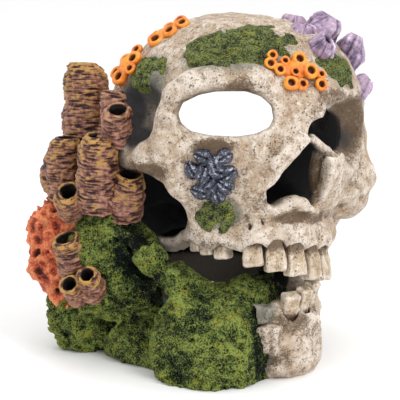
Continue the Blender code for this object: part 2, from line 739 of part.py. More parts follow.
def make_air_line():
    """The inlet in the rear wall, its grommet, the inner hose and the stone that makes the bubbles."""
    start = INLET
    grommet = [(3.0, 2.0), (7.5, 2.0), (7.5, 0.4), (4.6, 0.4), (4.6, -10.0), (3.0, -10.0), (3.0, 2.0)]
    turned("inlet_grommet", grommet, start, start + Y_AXIS, RUBBER, steps=16)
    inlet = [
        (0.9, 12.0), (1.8, 12.0), (2.6, 9.5), (1.8, 9.5), (1.8, 9.0), (2.6, 6.5), (1.8, 6.5), (1.8, 4.0),
        (5.5, 4.0), (5.5, 2.4), (2.6, 2.4), (2.6, -12.0), (SPIGOT, -12.0), (SPIGOT, -18.0), (0.9, -18.0),
        (0.9, 12.0),
    ]  # fmt: skip
    turned("air_inlet", inlet, start, start + Y_AXIS, PLASTIC, steps=12)
    stone_end = Vector((STONE_X, STONE_Y + STONE_LENGTH, STONE_RADIUS))
    socket_hole = [(0, 0.5), (1.9, 0.5), (1.9, -5.5), (0, -5.5)]
    socket_cut = turned("stone_socket", socket_hole, stone_end, stone_end + Y_AXIS, steps=12, helper=True)
    round_off = 1.2
    rod = [
        (0, 0), (STONE_RADIUS - round_off, 0), (STONE_RADIUS, -round_off),
        (STONE_RADIUS, round_off - STONE_LENGTH), (STONE_RADIUS - round_off, -STONE_LENGTH), (0, -STONE_LENGTH),
    ]  # fmt: skip
    rock = turned("air_stone", rod, stone_end, stone_end + Y_AXIS, STONE, steps=16)
    cut(rock, socket_cut)
    drop(socket_cut)
    nipple = [
        (0.9, 9.0), (SPIGOT, 9.0), (SPIGOT, 2.0), (3.2, 2.0), (3.2, 0.4), (SPIGOT, 0.4), (SPIGOT, -5.0), (0.9, -5.0),
        (0.9, 9.0),
    ]  # fmt: skip
    turned("stone_nipple", nipple, stone_end, stone_end + Y_AXIS, PLASTIC, steps=12)
    hose_from = stone_end + Y_AXIS * 2.4
    hose_to = start - Y_AXIS * 12.4
    route = [
        hose_from,
        hose_from + Y_AXIS * 7,
        (hose_from + hose_to) / 2,
        hose_to - Y_AXIS * 7,
        hose_to,
    ]
    hose = swept("inner_hose", route, HOSE_OUTER, 0.0, HOSE)
    bore = swept("hose_bore", route, HOSE_BORE, 2.0, HOSE, helper=True)
    cut(hose, bore)
    drop(bore)


def swept(name, route, radius, overrun, material, helper=False):
    """A round bar along a smooth curve through the route, run on past both ends by overrun."""
    points = [Vector(p) for p in route]
    points[0] = points[0] - (points[1] - points[0]).normalized() * overrun
    points[-1] = points[-1] + (points[-1] - points[-2]).normalized() * overrun
    curve = bpy.data.curves.new(name, "CURVE")
    curve.dimensions = "3D"
    curve.bevel_depth = radius * MM
    curve.bevel_resolution = 2
    curve.use_fill_caps = True
    line = smooth_line(points, 3)
    spline = curve.splines.new("POLY")
    spline.points.add(len(line) - 1)
    for point, place in zip(spline.points, line):
        point.co = (*(place * MM), 1.0)
    source = bpy.data.objects.new(name + "_curve", curve)
    CUTTERS.objects.link(source)
    graph = bpy.context.evaluated_depsgraph_get()
    graph.update()
    mesh = bpy.data.meshes.new_from_object(source.evaluated_get(graph))
    bpy.data.objects.remove(source)
    bm = bmesh.new()
    bm.from_mesh(mesh)
    bmesh.ops.remove_doubles(bm, verts=bm.verts, dist=1e-6)
    bmesh.ops.recalc_face_normals(bm, faces=bm.faces)
    bm.to_mesh(mesh)
    bm.free()
    return add_object(name, mesh, material, helper)


def smooth_line(points, per_span):
    """Points of a Catmull-Rom curve through the given ones."""
    line = []
    padded = [2 * points[0] - points[1], *points, 2 * points[-1] - points[-2]]
    for a, b, c, d in zip(padded, padded[1:], padded[2:], padded[3:]):
        for step in range(per_span):
            t = step / per_span
            line.append(
                0.5 * (2 * b + (c - a) * t + (2 * a - 5 * b + 4 * c - d) * t**2 + (3 * b - a - 3 * c + d) * t**3)
            )
    return [*line, points[-1]]


# ---------------------------------------------------------------- assembly


def centre_on_base():
    """Moves every piece so that the middle of the bounding box's underside is the origin."""
    boxes = [extent(obj) for obj in PARTS.objects]
    low = Vector([min(box[0][i] for box in boxes) for i in range(3)])
    high = Vector([max(box[1][i] for box in boxes) for i in range(3)])
    offset = Vector(((low.x + high.x) / 2, (low.y + high.y) / 2, 0.0))
    for obj in PARTS.objects:
        obj.location = -offset
        obj.data.shade_smooth()
        obj.data.set_sharp_from_angle(angle=math.radians(40))


skull, skull_form = make_skull()
lower_jaw, moss_base = make_base(skull_form)
upper_teeth, lower_teeth = make_teeth()
socket(skull, upper_teeth)
socket(lower_jaw, lower_teeth)
GLUED.extend(upper_teeth + lower_teeth)
make_jaw_block()
make_sponges()
make_polyps()
make_barnacles()
make_mussels()
make_moss_pads()
make_air_line()
drop(skull_form)
centre_on_base()
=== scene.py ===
"""Looks of the bubbling skull ornament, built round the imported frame.

Shapes are worked out in millimetres from the middle of the skull, with its right side at -X and its face
along -Y. SHIFT takes them to the frame's own origin. Most pieces are distance fields on a grid, fused from
named forms and skinned by skin(); the tubes and barnacles are swept round an axis.
"""

import math

import bpy
import numpy as np
from mathutils import Matrix, Vector


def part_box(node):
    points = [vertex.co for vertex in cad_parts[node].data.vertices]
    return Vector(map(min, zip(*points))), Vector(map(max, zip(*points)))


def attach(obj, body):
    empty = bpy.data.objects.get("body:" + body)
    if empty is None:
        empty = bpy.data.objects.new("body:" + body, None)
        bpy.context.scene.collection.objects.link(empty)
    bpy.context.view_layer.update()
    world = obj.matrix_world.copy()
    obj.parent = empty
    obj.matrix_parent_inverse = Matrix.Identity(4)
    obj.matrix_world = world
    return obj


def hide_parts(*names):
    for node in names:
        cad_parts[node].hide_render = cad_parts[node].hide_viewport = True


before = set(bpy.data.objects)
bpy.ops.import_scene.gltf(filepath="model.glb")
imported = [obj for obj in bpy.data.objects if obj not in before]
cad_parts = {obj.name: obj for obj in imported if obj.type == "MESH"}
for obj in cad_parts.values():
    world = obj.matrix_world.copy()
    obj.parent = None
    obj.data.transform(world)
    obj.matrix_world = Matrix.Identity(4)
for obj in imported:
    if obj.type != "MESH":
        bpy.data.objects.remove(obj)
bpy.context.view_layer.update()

MM = 0.001
STONE_MIDDLE = np.array([-6.0, -3.0, 7.0])  # middle of the air stone from the middle of the skull
stone_low, stone_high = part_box("air_stone")
SHIFT = np.array((stone_low + stone_high) / 2) / MM - STONE_MIDDLE
FAR = 40.0  # distance given to a grid point that no form comes near
REACH = 9.0  # how far round a form its distances are worked out


# ---------------------------------------------------------------- noise


def spline_weights(t):
    """Cell index and the four cubic B-spline weights for places t on a lattice."""
    cell = np.floor(t).astype(int)
    f = (t - cell).astype(np.float32)
    w = [(1 - f) ** 3 / 6, (3 * f**3 - 6 * f**2 + 4) / 6, (-3 * f**3 + 3 * f**2 + 3 * f + 1) / 6, f**3 / 6]
    return cell, w


CORNERS = [(i, j, k) for i in (0, 1) for j in (0, 1) for k in (0, 1)]  # of a cell or a cube
LATTICE = 32
SPREAD = 0.33  # spread of spline-smoothed random values


def noise_at(points, spacing, seed):
    """Smooth random values, of spread 1, at points. spacing is one size or one for each axis."""
    lattice = np.random.RandomState(seed).randn(LATTICE, LATTICE, LATTICE).astype(np.float32)
    parts = [spline_weights(points[:, i] / s) for i, s in enumerate(np.broadcast_to(spacing, 3))]
    total = np.zeros(len(points), np.float32)
    for i in range(4):
        xi = (parts[0][0] + i) % LATTICE
        for j in range(4):
            yj = (parts[1][0] + j) % LATTICE
            wij = parts[0][1][i] * parts[1][1][j]
            for k in range(4):
                zk = (parts[2][0] + k) % LATTICE
                total += wij * parts[2][1][k] * lattice[xi, yj, zk]
    return total / SPREAD


class Grid:
    """A box of evenly spaced points, in millimetres."""

    def __init__(self, low, high, cell):
        self.low = np.array(low, float)
        self.cell = cell
        self.shape = tuple(int(math.ceil((b - a) / cell)) + 1 for a, b in zip(low, high))
        self.axes = [(self.low[i] + cell * np.arange(n)).astype(np.float32) for i, n in enumerate(self.shape)]

    def empty(self):
        return np.full(self.shape, FAR, np.float32)

    def coordinates(self, window=(slice(None),) * 3):
        x, y, z = (axis[part] for axis, part in zip(self.axes, window))
        return x[:, None, None], y[None, :, None], z[None, None, :]

    def window(self, low, high):
        """The part of the grid within REACH of the box from low to high."""
        parts = []
        for i in range(3):
            start = int(np.searchsorted(self.axes[i], low[i] - REACH))
            stop = int(np.searchsorted(self.axes[i], high[i] + REACH))
            parts.append(slice(start, max(stop, start)))
        return tuple(parts)

    def noise(self, spacing, seed):
        """Smooth random values, of spread 1, on every point. spacing is one size or one for each axis."""
        weights = []
        for axis, s in zip(self.axes, np.broadcast_to(spacing, 3)):
            cell, w = spline_weights((axis - axis[0]) / s)
            matrix = np.zeros((len(axis), cell.max() + 4), np.float32)
            for k in range(4):
                matrix[np.arange(len(axis)), cell + k] += w[k]
            weights.append(matrix)
        values = np.random.RandomState(seed).randn(*(m.shape[1] for m in weights)).astype(np.float32)
        for matrix in weights:  # each pass turns the axes round by one, so that three put them back
            values = np.tensordot(values, matrix, (0, 1))
        return values / SPREAD

    def sample(self, values, points):
        """Values at points inside the grid, by trilinear interpolation."""
        t = (points - self.low) / self.cell
        limit = np.array(self.shape) - 2
        cell = np.clip(np.floor(t).astype(int), 0, limit)
        f = np.clip(t - cell, 0.0, 1.0)
        total = 0.0
        for corner in CORNERS:
            weight = np.prod(np.abs(1 - np.array(corner) - f), axis=1)
            total = total + weight * values[tuple((cell + corner).T)]
        return total


def blur(values, size):
    """Box blur, twice along each axis, over size grid steps each way."""
    limited = np.clip(values, -6.0, 6.0)
    for axis in (0, 1, 2):
        for _ in range(2):
            pads = [(0, 0)] * 3
            pads[axis] = (size + 1, size)
            total = np.cumsum(np.pad(limited, pads, mode="edge"), axis=axis, dtype=np.float64)
            upper = np.take(total, np.arange(2 * size + 1, total.shape[axis]), axis=axis)
            lower = np.take(total, np.arange(0, total.shape[axis] - 2 * size - 1), axis=axis)
            limited = ((upper - lower) / (2 * size + 1)).astype(np.float32)
    return limited


# ---------------------------------------------------------------- forms


def turn_matrix(turn):
    x, y, z = (math.radians(a) for a in turn)
    return np.array(Matrix.Rotation(z, 3, "Z") @ Matrix.Rotation(y, 3, "Y") @ Matrix.Rotation(x, 3, "X"))


def blob(centre, radii, turn=(0, 0, 0)):
    """An ellipsoid, turned in degrees about X, Y and then Z."""
    return ("blob", np.array(centre, float), np.array(radii, float), turn_matrix(turn))


def chain(*stations):
    """Round-ended rods through (point, radius) stations."""
    rods = []
    for (a, ra), (b, rb) in zip(stations, stations[1:]):
        rods.append(("rod", np.array(a, float), ra, np.array(b, float), rb))
    return rods


def slab(centre, sizes, turn=(0, 0, 0), edge=1.0):
    """A block with rounded edges, turned as a blob is."""
    return ("slab", np.array(centre, float), np.array(sizes, float) / 2, turn_matrix(turn), edge)


def extent(form):
    """The low and high corner of the box round a form."""
    if form[0] in ("blob", "slab"):
        size = np.abs(form[3]) @ form[2]
        return form[1] - size, form[1] + size
    radius = max(form[2], form[4])
    return np.minimum(form[1], form[3]) - radius, np.maximum(form[1], form[3]) + radius


def along(coordinates, centre, axis):
    """How far the coordinates of a grid lie from centre, measured along axis."""
    return sum((part - c) * a for part, c, a in zip(coordinates, centre, axis))


def rounded_block(past, edge):
    """Distance to a block with rounded edges. past is how far a place lies beyond each pair of sides."""
    outer = np.sqrt(sum(np.maximum(part, 0.0) ** 2 for part in past))
    inner = np.minimum(np.maximum(np.maximum(past[0], past[1]), past[2]), 0.0)
    return (outer + inner - edge).astype(np.float32)


def distance(form, x, y, z):
    """Distance from the form's surface, negative inside it; close to true for a blob, exact otherwise."""
    if form[0] == "slab":
        centre, half, matrix, edge = form[1:]
        past = [np.abs(along((x, y, z), centre, axis)) - size + edge for axis, size in zip(matrix.T, half)]
        return rounded_block(past, edge)
    if form[0] == "blob":
        centre, radii, matrix = form[1:]
        if np.allclose(matrix, np.eye(3)):
            x, y, z = x - centre[0], y - centre[1], z - centre[2]
        else:
            x, y, z = (along((x, y, z), centre, axis) for axis in matrix.T)
        near = np.sqrt((x / radii[0]) ** 2 + (y / radii[1]) ** 2 + (z / radii[2]) ** 2)
        slope = np.sqrt((x / radii[0] ** 2) ** 2 + (y / radii[1] ** 2) ** 2 + (z / radii[2] ** 2) ** 2)
        return (near * (near - 1.0) / np.maximum(slope, 1e-4)).astype(np.float32)
    a, ra, b, rb = form[1:]
    line = b - a
    t = np.clip(along((x, y, z), a, line) / (line @ line), 0.0, 1.0)
    gap = sum((part - a[i] - t * line[i]) ** 2 for i, part in enumerate((x, y, z)))
    return (np.sqrt(gap) - (ra + (rb - ra) * t)).astype(np.float32)


def smooth_min(a, b, blend):
    """The smaller of a and b, with a fillet of about blend where they meet."""
    h = np.maximum(blend - np.abs(a - b), 0.0) / blend
    return np.minimum(a, b) - h * h * blend * 0.25


def cut(a, b, blend):
    """The solid a without the solid b, its new edges rounded by about blend."""
    return -smooth_min(-a, b, blend)


def add(grid, values, forms, blend=3.0, join=smooth_min):
    """Fuses forms into values, with a fillet of about blend."""
    for form in forms:
        window = grid.window(*extent(form))
        if all(part.stop > part.start for part in window):
            values[window] = join(values[window], distance(form, *grid.coordinates(window)), blend)
    return values


def carve(grid, values, forms, blend):
    """Cuts forms out of values, rounding the edge by about blend."""
    return add(grid, values, forms, blend, cut)


def outline_distance(outline, u, v):
    """Signed distance to a closed outline, negative inside."""
    points = np.array(outline, float)
    u, v = np.broadcast_arrays(u, v)
    gap = np.full(u.shape, 1e9)
    inside = np.zeros(u.shape, bool)
    for (ax, ay), (bx, by) in zip(points, np.roll(points, -1, axis=0)):
        ex, ey = bx - ax, by - ay
        t = np.clip(((u - ax) * ex + (v - ay) * ey) / (ex * ex + ey * ey), 0.0, 1.0)
        gap = np.minimum(gap, (u - ax - t * ex) ** 2 + (v - ay - t * ey) ** 2)
        crossing = (ay > v) != (by > v)
        inside ^= crossing & (u < (bx - ax) * (v - ay) / ((by - ay) or 1e-9) + ax)
    return (np.sqrt(gap) * np.where(inside, -1.0, 1.0)).astype(np.float32)


def carve_outline(grid, values, outline, centre, axis, near, far, flare=0.0, blend=1.5):
    """Cuts a prism whose outline, in millimetres across and up, stands square to axis at centre. It runs
    from near to far along axis, and widens by flare for each millimetre in front of centre."""
    axis = np.array(axis, float) / np.linalg.norm(axis)
    across = np.cross((0.0, 0.0, 1.0), axis)
    across /= np.linalg.norm(across)
    up = np.cross(axis, across)
    ends = [np.array(centre) + axis * near, np.array(centre) + axis * far]
    size = max(math.hypot(*point) for point in outline) + abs(flare) * abs(far)
    window = grid.window(np.minimum(*ends) - size, np.maximum(*ends) + size)
    out, u, v = (along(grid.coordinates(window), centre, side) for side in (axis, across, up))
    d = outline_distance(outline, u, v)
    d = np.maximum(d - flare * np.maximum(out, 0.0), np.maximum(near - out, out - far)).astype(np.float32)
    values[window] = cut(values[window], d, blend)


# ---------------------------------------------------------------- meshes


EDGES = [(a, b) for a in CORNERS for b in CORNERS if sum(np.abs(np.subtract(a, b))) == 1 and a < b]


def surface_net(grid, values):
    """(points, quads) of the surface where values pass through zero."""
    inside = values < 0
    size = [n - 1 for n in grid.shape]
    count = np.zeros(size, np.int8)
    for i, j, k in CORNERS:
        count += inside[i : i + size[0], j : j + size[1], k : k + size[2]]
    cells = np.argwhere((count > 0) & (count < 8))
    number = np.full(size, -1, np.int32)
    number[tuple(cells.T)] = np.arange(len(cells))
    total = np.zeros((len(cells), 3))
    hits = np.zeros(len(cells))
    for a, b in EDGES:
        va = values[tuple((cells + a).T)]
        vb = values[tuple((cells + b).T)]
        crossed = (va < 0) != (vb < 0)
        t = np.where(crossed, va / np.where(crossed, va - vb, 1.0), 0.0)[:, None]
        total += crossed[:, None] * (np.array(a) + t * (np.array(b) - np.array(a)))
        hits += crossed
    points = (cells + total / hits[:, None]) * grid.cell + grid.low
    quads = []
    for axis in range(3):
        u, v = [np.eye(3, dtype=int)[(axis + n) % 3] for n in (1, 2)]
        first = [slice(1, n - 1) for n in grid.shape]
        first[axis] = slice(0, grid.shape[axis] - 1)
        second = list(first)
        second[axis] = slice(1, grid.shape[axis])
        starts, ends = inside[tuple(first)], inside[tuple(second)]
        base = np.array([part.start for part in first])
        for rising in (True, False):
            at = np.argwhere((starts & ~ends) if rising else (~starts & ends)) + base
            ring = [at, at - u, at - u - v, at - v]
            if not rising:
                ring = ring[::-1]
            quads.append(np.stack([number[tuple(p.T)] for p in ring], axis=1))
    return points, np.concatenate(quads)


def settle_on(grid, values, points, rounds=2):
    """Moves points onto the zero surface of values."""
    slopes = np.gradient(values, grid.cell)
    for _ in range(rounds):
        d = grid.sample(values, points)
        g = np.stack([grid.sample(s, points) for s in slopes], axis=1)
        move = d[:, None] * g / np.maximum((g * g).sum(1), 0.15)[:, None]
        points = points - np.clip(move, -0.4 * grid.cell, 0.4 * grid.cell)
    return points


def main_bodies(points, quads):
    """Drops crumbs that hang free of the piece, and bubbles inside it."""
    label = np.arange(len(points))
    pairs = np.concatenate([quads[:, [0, 1]], quads[:, [1, 2]], quads[:, [2, 3]]])
    while True:
        low = np.minimum(label[pairs[:, 0]], label[pairs[:, 1]])
        nearer = label.copy()
        np.minimum.at(nearer, label[pairs[:, 0]], low)
        np.minimum.at(nearer, label[pairs[:, 1]], low)
        nearer = nearer[nearer]
        if np.array_equal(nearer, label):
            break
        label = nearer
    sizes = np.bincount(label, minlength=len(points))
    kept = sizes[label] > 0.04 * len(points)
    number = np.cumsum(kept) - 1
    return points[kept], number[quads[kept[quads[:, 0]]]]


def mesh_object(name, points, faces, material, paints=None):
    """An object from points in millimetres. paints holds a value for each point, by attribute name."""
    mesh = bpy.data.meshes.new(name)
    faces = np.asarray(faces, np.int32)
    mesh.vertices.add(len(points))
    mesh.vertices.foreach_set("co", ((points + SHIFT) * MM).astype(np.float32).ravel())
    sides = faces.shape[1]
    mesh.loops.add(faces.size)
    mesh.loops.foreach_set("vertex_index", faces.ravel())
    mesh.polygons.add(len(faces))
    mesh.polygons.foreach_set("loop_start", np.arange(0, faces.size, sides, dtype=np.int32))
    mesh.update(calc_edges=True)
    mesh.validate()
    mesh.shade_smooth()
    for key, value in (paints or {}).items():
        layer = mesh.attributes.new(key, "FLOAT", "POINT")
        layer.data.foreach_set("value", np.asarray(value, np.float32))
    mesh.materials.append(material)
    obj = bpy.data.objects.new(name, mesh)
    bpy.context.scene.collection.objects.link(obj)
    return obj


def skin(name, grid, values, material, paint=None):
    """The skinned field as an object. paint(points) gives the attributes."""
    points, quads = main_bodies(*surface_net(grid, values))
    points = settle_on(grid, values, points)
    return mesh_object(name, points, quads, material, paint(points) if paint else None)


def place(obj, node):
    """Rides on the one body and hides the CAD node that it stands for."""
    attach(obj, "root")
    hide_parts(node)


def step(values, start, end):
    """0 below start, 1 above end, and smooth between."""
    t = np.clip((values - start) / (end - start), 0.0, 1.0)
    return t * t * (3 - 2 * t)


# ---------------------------------------------------------------- paint


PITCH = (0.010, 0.010, 0.014)  # the black that the shells are painted inside, also laid as painted shade in the temple, deep in the left orbit, round the tooth sockets and in the jaw's sockets and cracks


class Paint:
    """A material's node tree, with its Principled shader."""

    def __init__(self, name, roughness, specular=0.35):
        self.material = bpy.data.materials.new(name)
        self.material.use_nodes = True
        self.tree = self.material.node_tree
        self.shader = self.tree.nodes["Principled BSDF"]
        self.shader.inputs["Roughness"].default_value = roughness
        self.shader.inputs["Specular IOR Level"].default_value = specular
        self.place = self.tree.nodes.new("ShaderNodeTexCoord").outputs["Object"]

    def node(self, kind, **settings):
        made = self.tree.nodes.new(kind)
        for key, value in settings.items():
            setattr(made, key, value)
        return made

    def link(self, value, socket):
        if isinstance(value, bpy.types.NodeSocket):
            self.tree.links.new(value, socket)
        elif isinstance(value, tuple):
            socket.default_value = (*value, 1.0)
        else:
            socket.default_value = value

    def noise(self, size, detail=3.0, rough=0.55, distortion=0.0, stretch=None):
        """Noise whose grains are about size millimetres across."""
        made = self.node("ShaderNodeTexNoise")
        spot = self.place
        if stretch:
            mapping = self.node("ShaderNodeMapping")
            mapping.inputs["Scale"].default_value = stretch
            self.link(spot, mapping.inputs["Vector"])
            spot = mapping.outputs["Vector"]
        self.link(spot, made.inputs["Vector"])
        made.inputs["Scale"].default_value = 1.0 / (size * MM)
        made.inputs["Detail"].default_value = detail
        made.inputs["Roughness"].default_value = rough
        made.inputs["Distortion"].default_value = distortion
        return made.outputs["Fac"]

    def cells(self, size, feature="F1"):
        made = self.node("ShaderNodeTexVoronoi", feature=feature)
        self.link(self.place, made.inputs["Vector"])
        made.inputs["Scale"].default_value = 1.0 / (size * MM)
        return made.outputs["Distance"]

    def attribute(self, name):
        return self.node("ShaderNodeAttribute", attribute_name=name).outputs["Fac"]

    def ramp(self, value, *stops):
        """Maps value through (place, number or colour) stops."""
        made = self.node("ShaderNodeValToRGB")
        elements = made.color_ramp.elements
        for _ in range(len(stops) - 2):
            elements.new(0.5)
        for element, (position, colour) in zip(elements, stops):
            element.position = position
            element.color = (*colour, 1.0) if isinstance(colour, tuple) else (colour,) * 3 + (1.0,)
        self.link(value, made.inputs["Fac"])
        return made.outputs["Color"]

    def span(self, value, start, end):
        """0 where value is below start, 1 above end."""
        made = self.node("ShaderNodeMapRange", interpolation_type="SMOOTHSTEP")
        self.link(value, made.inputs["Value"])
        made.inputs["From Min"].default_value = start
        made.inputs["From Max"].default_value = end
        return made.outputs["Result"]

    def maths(self, operation, a, b):
        made = self.node("ShaderNodeMath", operation=operation)
        self.link(a, made.inputs[0])
        self.link(b, made.inputs[1])
        return made.outputs[0]

    def times(self, a, b):
        return self.maths("MULTIPLY", a, b)

    def plus(self, a, b):
        return self.maths("ADD", a, b)

    def minus(self, value):
        return self.times(value, -1.0)

    def swing(self, value, gain=1.0):
        """How far value is from one half, times gain."""
        return self.times(self.maths("SUBTRACT", value, 0.5), gain)

    def mix(self, share, a, b, blend="MIX"):
        made = self.node("ShaderNodeMix", data_type="RGBA", blend_type=blend)
        self.link(share, made.inputs[0])
        self.link(a, made.inputs[6])
        self.link(b, made.inputs[7])
        return made.outputs[2]

    def coat(self, under, over, where, most):
        """Lays the colour over on the colour under, as far as where says and no thicker than most."""
        return self.mix(self.times(where, most), under, over)

    def colour(self, value):
        self.link(value, self.shader.inputs["Base Color"])

    def roughness(self, value, low, high):
        made = self.node("ShaderNodeMapRange")
        self.link(value, made.inputs["Value"])
        made.inputs["To Min"].default_value = low
        made.inputs["To Max"].default_value = high
        self.link(made.outputs["Result"], self.shader.inputs["Roughness"])

    def finish(self, colour, height, depth, strength):
        self.colour(colour)
        self.bump(height, depth, strength)
        return self.material

    def bump(self, height, depth, strength=1.0):
        """Relief of depth millimetres, on top of any that was set before."""
        made = self.node("ShaderNodeBump")
        made.inputs["Strength"].default_value = strength
        made.inputs["Distance"].default_value = depth * MM
        self.link(height, made.inputs["Height"])
        normal = self.shader.inputs["Normal"]
        if normal.links:
            self.tree.links.new(normal.links[0].from_socket, made.inputs["Normal"])
        self.tree.links.new(made.outputs["Normal"], normal)


def bone_paint(name, light, middle, dark, gloss, speckle=1.0):
    """Hand-painted resin bone: brown wash and stipple, pale dry-brushed ridges, small pits, black inside,
    painted shade in its hollows.
    """
    p = Paint(name, gloss)
    cavity = p.attribute("cavity")
    stain_and_shade = p.attribute("stain_and_shade")
    fine = p.noise(0.75, 4, 0.8)
    grain = p.swing(fine)
    mottle = p.noise(2.6, 6, 0.75, 0.4)
    patches = p.span(p.noise(10, 4, 0.6, 0.6), 0.38, 0.62)
    colour = p.mix(patches, middle, light)
    wash = p.span(mottle, 0.46, 0.60)
    colour = p.coat(colour, (0.27, 0.175, 0.098), wash, 0.66)
    ochre = p.span(p.noise(6.5, 4, 0.65, 0.8), 0.50, 0.66)
    colour = p.coat(colour, (0.36, 0.235, 0.12), ochre, 0.6)
    streaks = p.span(p.noise(2.4, 4, 0.7, 0.5, (1.0, 1.0, 0.22)), 0.51, 0.62)
    colour = p.coat(colour, (0.34, 0.22, 0.12), streaks, 0.6)
    chalk = p.span(p.noise(1.3, 5, 0.75), 0.55, 0.64)
    colour = p.coat(colour, (0.86, 0.79, 0.71), chalk, 0.42)
    ridge = p.span(p.minus(cavity), 0.05, 0.40)
    colour = p.coat(colour, (0.82, 0.74, 0.65), ridge, 0.50)
    crowd = p.plus(p.times(stain_and_shade, 0.10), p.swing(mottle, 0.5))
    specks = p.span(p.plus(fine, crowd), 0.535, 0.625)
    colour = p.coat(colour, (0.13, 0.085, 0.052), specks, 0.78 * speckle)
    # painted shade with brown wash: the hollows, from the cavity attribute, darken toward dark
    hollow = p.span(p.plus(cavity, grain), 0.04, 0.42)
    colour = p.coat(colour, dark, hollow, 0.92)
    # brown stains, and painted shade deep in recesses, darken the bone here
    wash_and_shade = p.plus(stain_and_shade, p.plus(p.times(grain, 1.5), p.swing(mottle)))
    colour = p.coat(colour, (0.115, 0.070, 0.036), p.span(wash_and_shade, 0.12, 0.80), 0.92)
    sparse = p.span(p.noise(6.0, 2, 0.5), 0.46, 0.60)
    pit = p.times(p.span(p.minus(p.cells(1.5)), -0.27, -0.14), sparse)
    colour = p.coat(colour, (0.040, 0.026, 0.018), pit, 0.85)
    dusty = p.plus(p.attribute("green"), p.times(grain, 1.6))
    colour = p.coat(colour, (0.085, 0.10, 0.075), p.span(dusty, 0.25, 1.0), 0.75)
    colour = p.mix(p.attribute("black"), colour, PITCH)
    p.colour(colour)
    p.roughness(fine, gloss - 0.08, gloss + 0.12)
    p.bump(mottle, 0.5, 0.6)
    p.bump(fine, 0.28, 0.8)
    p.bump(p.minus(pit), 0.3, 0.8)
    return p.material


def moss_paint(name, tip, middle, deep, grit):
    """Flocked moss: dark between the tufts, yellow-green on their tips, and darker where height carries
    painted shade. grit is the size of a crumb.
    """
    p = Paint(name, 0.85, 0.15)
    height = p.attribute("height")
    crumbs = p.noise(grit, 4, 0.8, 0.3)
    curls = p.noise(grit * 2.4, 3, 0.7, 1.2)
    level = p.plus(height, p.swing(crumbs, 4.4))
    level = p.plus(level, p.swing(curls, 2.0))
    colour = p.ramp(level, (0.12, deep), (0.48, middle), (1.0, tip))
    patches = p.span(p.noise(5.0, 4, 0.65), 0.50, 0.62)
    yellow = p.times(p.span(level, 0.50, 0.95), patches)
    colour = p.coat(colour, (0.66, 0.60, 0.08), yellow, 0.75)
    low = p.span(p.minus(level), -0.62, -0.25)
    blue = p.times(p.span(p.noise(3.2, 4, 0.65, 0.5), 0.55, 0.64), low)
    colour = p.coat(colour, (0.055, 0.065, 0.085), blue, 0.6)
    colour = p.mix(p.attribute("black"), colour, PITCH)
    resin = p.mix(p.span(crumbs, 0.4, 0.6), (0.42, 0.36, 0.31), (0.50, 0.43, 0.37))
    colour = p.mix(p.attribute("resin"), colour, resin)
    return p.finish(colour, level, 1.2, 1.0)


def tube_paint(name, ochre):
    """Ridged sponge: purple-brown with ochre on the crests, most of all near the rim, and a dark bore."""
    p = Paint(name, 0.55, 0.4)
    ridge = p.attribute("height")
    upward = p.attribute("along")
    speck = p.noise(0.9, 4, 0.75)
    level = p.plus(ridge, p.swing(speck, 1.6))
    stops = ((0.14, (0.030, 0.011, 0.011)), (0.48, (0.20, 0.076, 0.050)), (0.95, (0.46, 0.235, 0.17)))
    body = p.ramp(level, *stops)
    patches = p.plus(p.noise(3.4, 4, 0.7, 0.8), p.times(p.span(upward, 0.35, 0.95), 0.09))
    yellow = p.times(p.span(patches, 0.50, 0.62), p.span(level, 0.40, 0.80))
    body = p.coat(body, (0.46, 0.27, 0.045), yellow, 0.8 * ochre)
    rim = p.times(p.span(upward, 0.84, 1.0), p.span(level, 0.30, 0.75))
    body = p.coat(body, (0.50, 0.28, 0.05), rim, 0.7 * ochre)
    body = p.mix(p.attribute("bore"), body, (0.012, 0.006, 0.006))
    return p.finish(body, speck, 0.35, 0.9)


def coral_paint():
    p = Paint("orange_sponge", 0.6, 0.4)
    height = p.attribute("height")
    speck = p.noise(0.9, 4, 0.75)
    level = p.plus(height, p.swing(speck, 1.8))
    stops = ((0.06, (0.035, 0.006, 0.005)), (0.42, (0.42, 0.058, 0.018)), (0.90, (0.84, 0.27, 0.11)))
    colour = p.ramp(level, *stops)
    pale = p.span(p.noise(4.5, 3, 0.6), 0.55, 0.66)
    colour = p.coat(colour, (0.46, 0.20, 0.07), pale, 0.5)
    return p.finish(colour, speck, 0.6, 1.0)


def polyp_paint():
    p = Paint("polyp", 0.42, 0.5)
    speck = p.noise(1.4, 3, 0.6)
    stops = ((0.30, (0.50, 0.085, 0.008)), (0.52, (0.74, 0.19, 0.012)), (0.72, (0.84, 0.33, 0.03)))
    colour = p.ramp(speck, *stops)
    colour = p.coat(colour, (0.84, 0.38, 0.025), p.attribute("yellow"), 0.5)
    # painted shade: the creases between the cups are darkened to dark red
    colour = p.mix(p.span(p.attribute("cavity"), 0.05, 0.45), colour, (0.22, 0.045, 0.01))
    colour = p.mix(p.attribute("bore"), colour, (0.075, 0.012, 0.008))
    return p.finish(colour, speck, 0.12, 0.6)


def barnacle_paint():
    p = Paint("barnacle", 0.42, 0.5)
    height = p.attribute("height")
    speck = p.noise(1.2, 5, 0.7, 0.4)
    level = p.plus(height, p.swing(speck, 1.3))
    stops = ((0.04, (0.030, 0.019, 0.052)), (0.44, (0.15, 0.098, 0.18)), (0.88, (0.46, 0.34, 0.47)))
    colour = p.ramp(level, *stops)
    pink = p.span(p.noise(4.5, 3, 0.6), 0.48, 0.62)
    colour = p.coat(colour, (0.42, 0.28, 0.37), pink, 0.5)
    # dark in the seams, and painted shade low down near the foot
    colour = p.mix(p.span(p.minus(level), -0.22, 0.02), colour, (0.035, 0.024, 0.055))
    # painted highlight on the tops of the shells
    colour = p.mix(p.span(level, 0.90, 1.15), colour, (0.84, 0.77, 0.84))
    colour = p.mix(p.attribute("bore"), colour, (0.022, 0.012, 0.026))
    return p.finish(colour, speck, 0.3, 0.7)


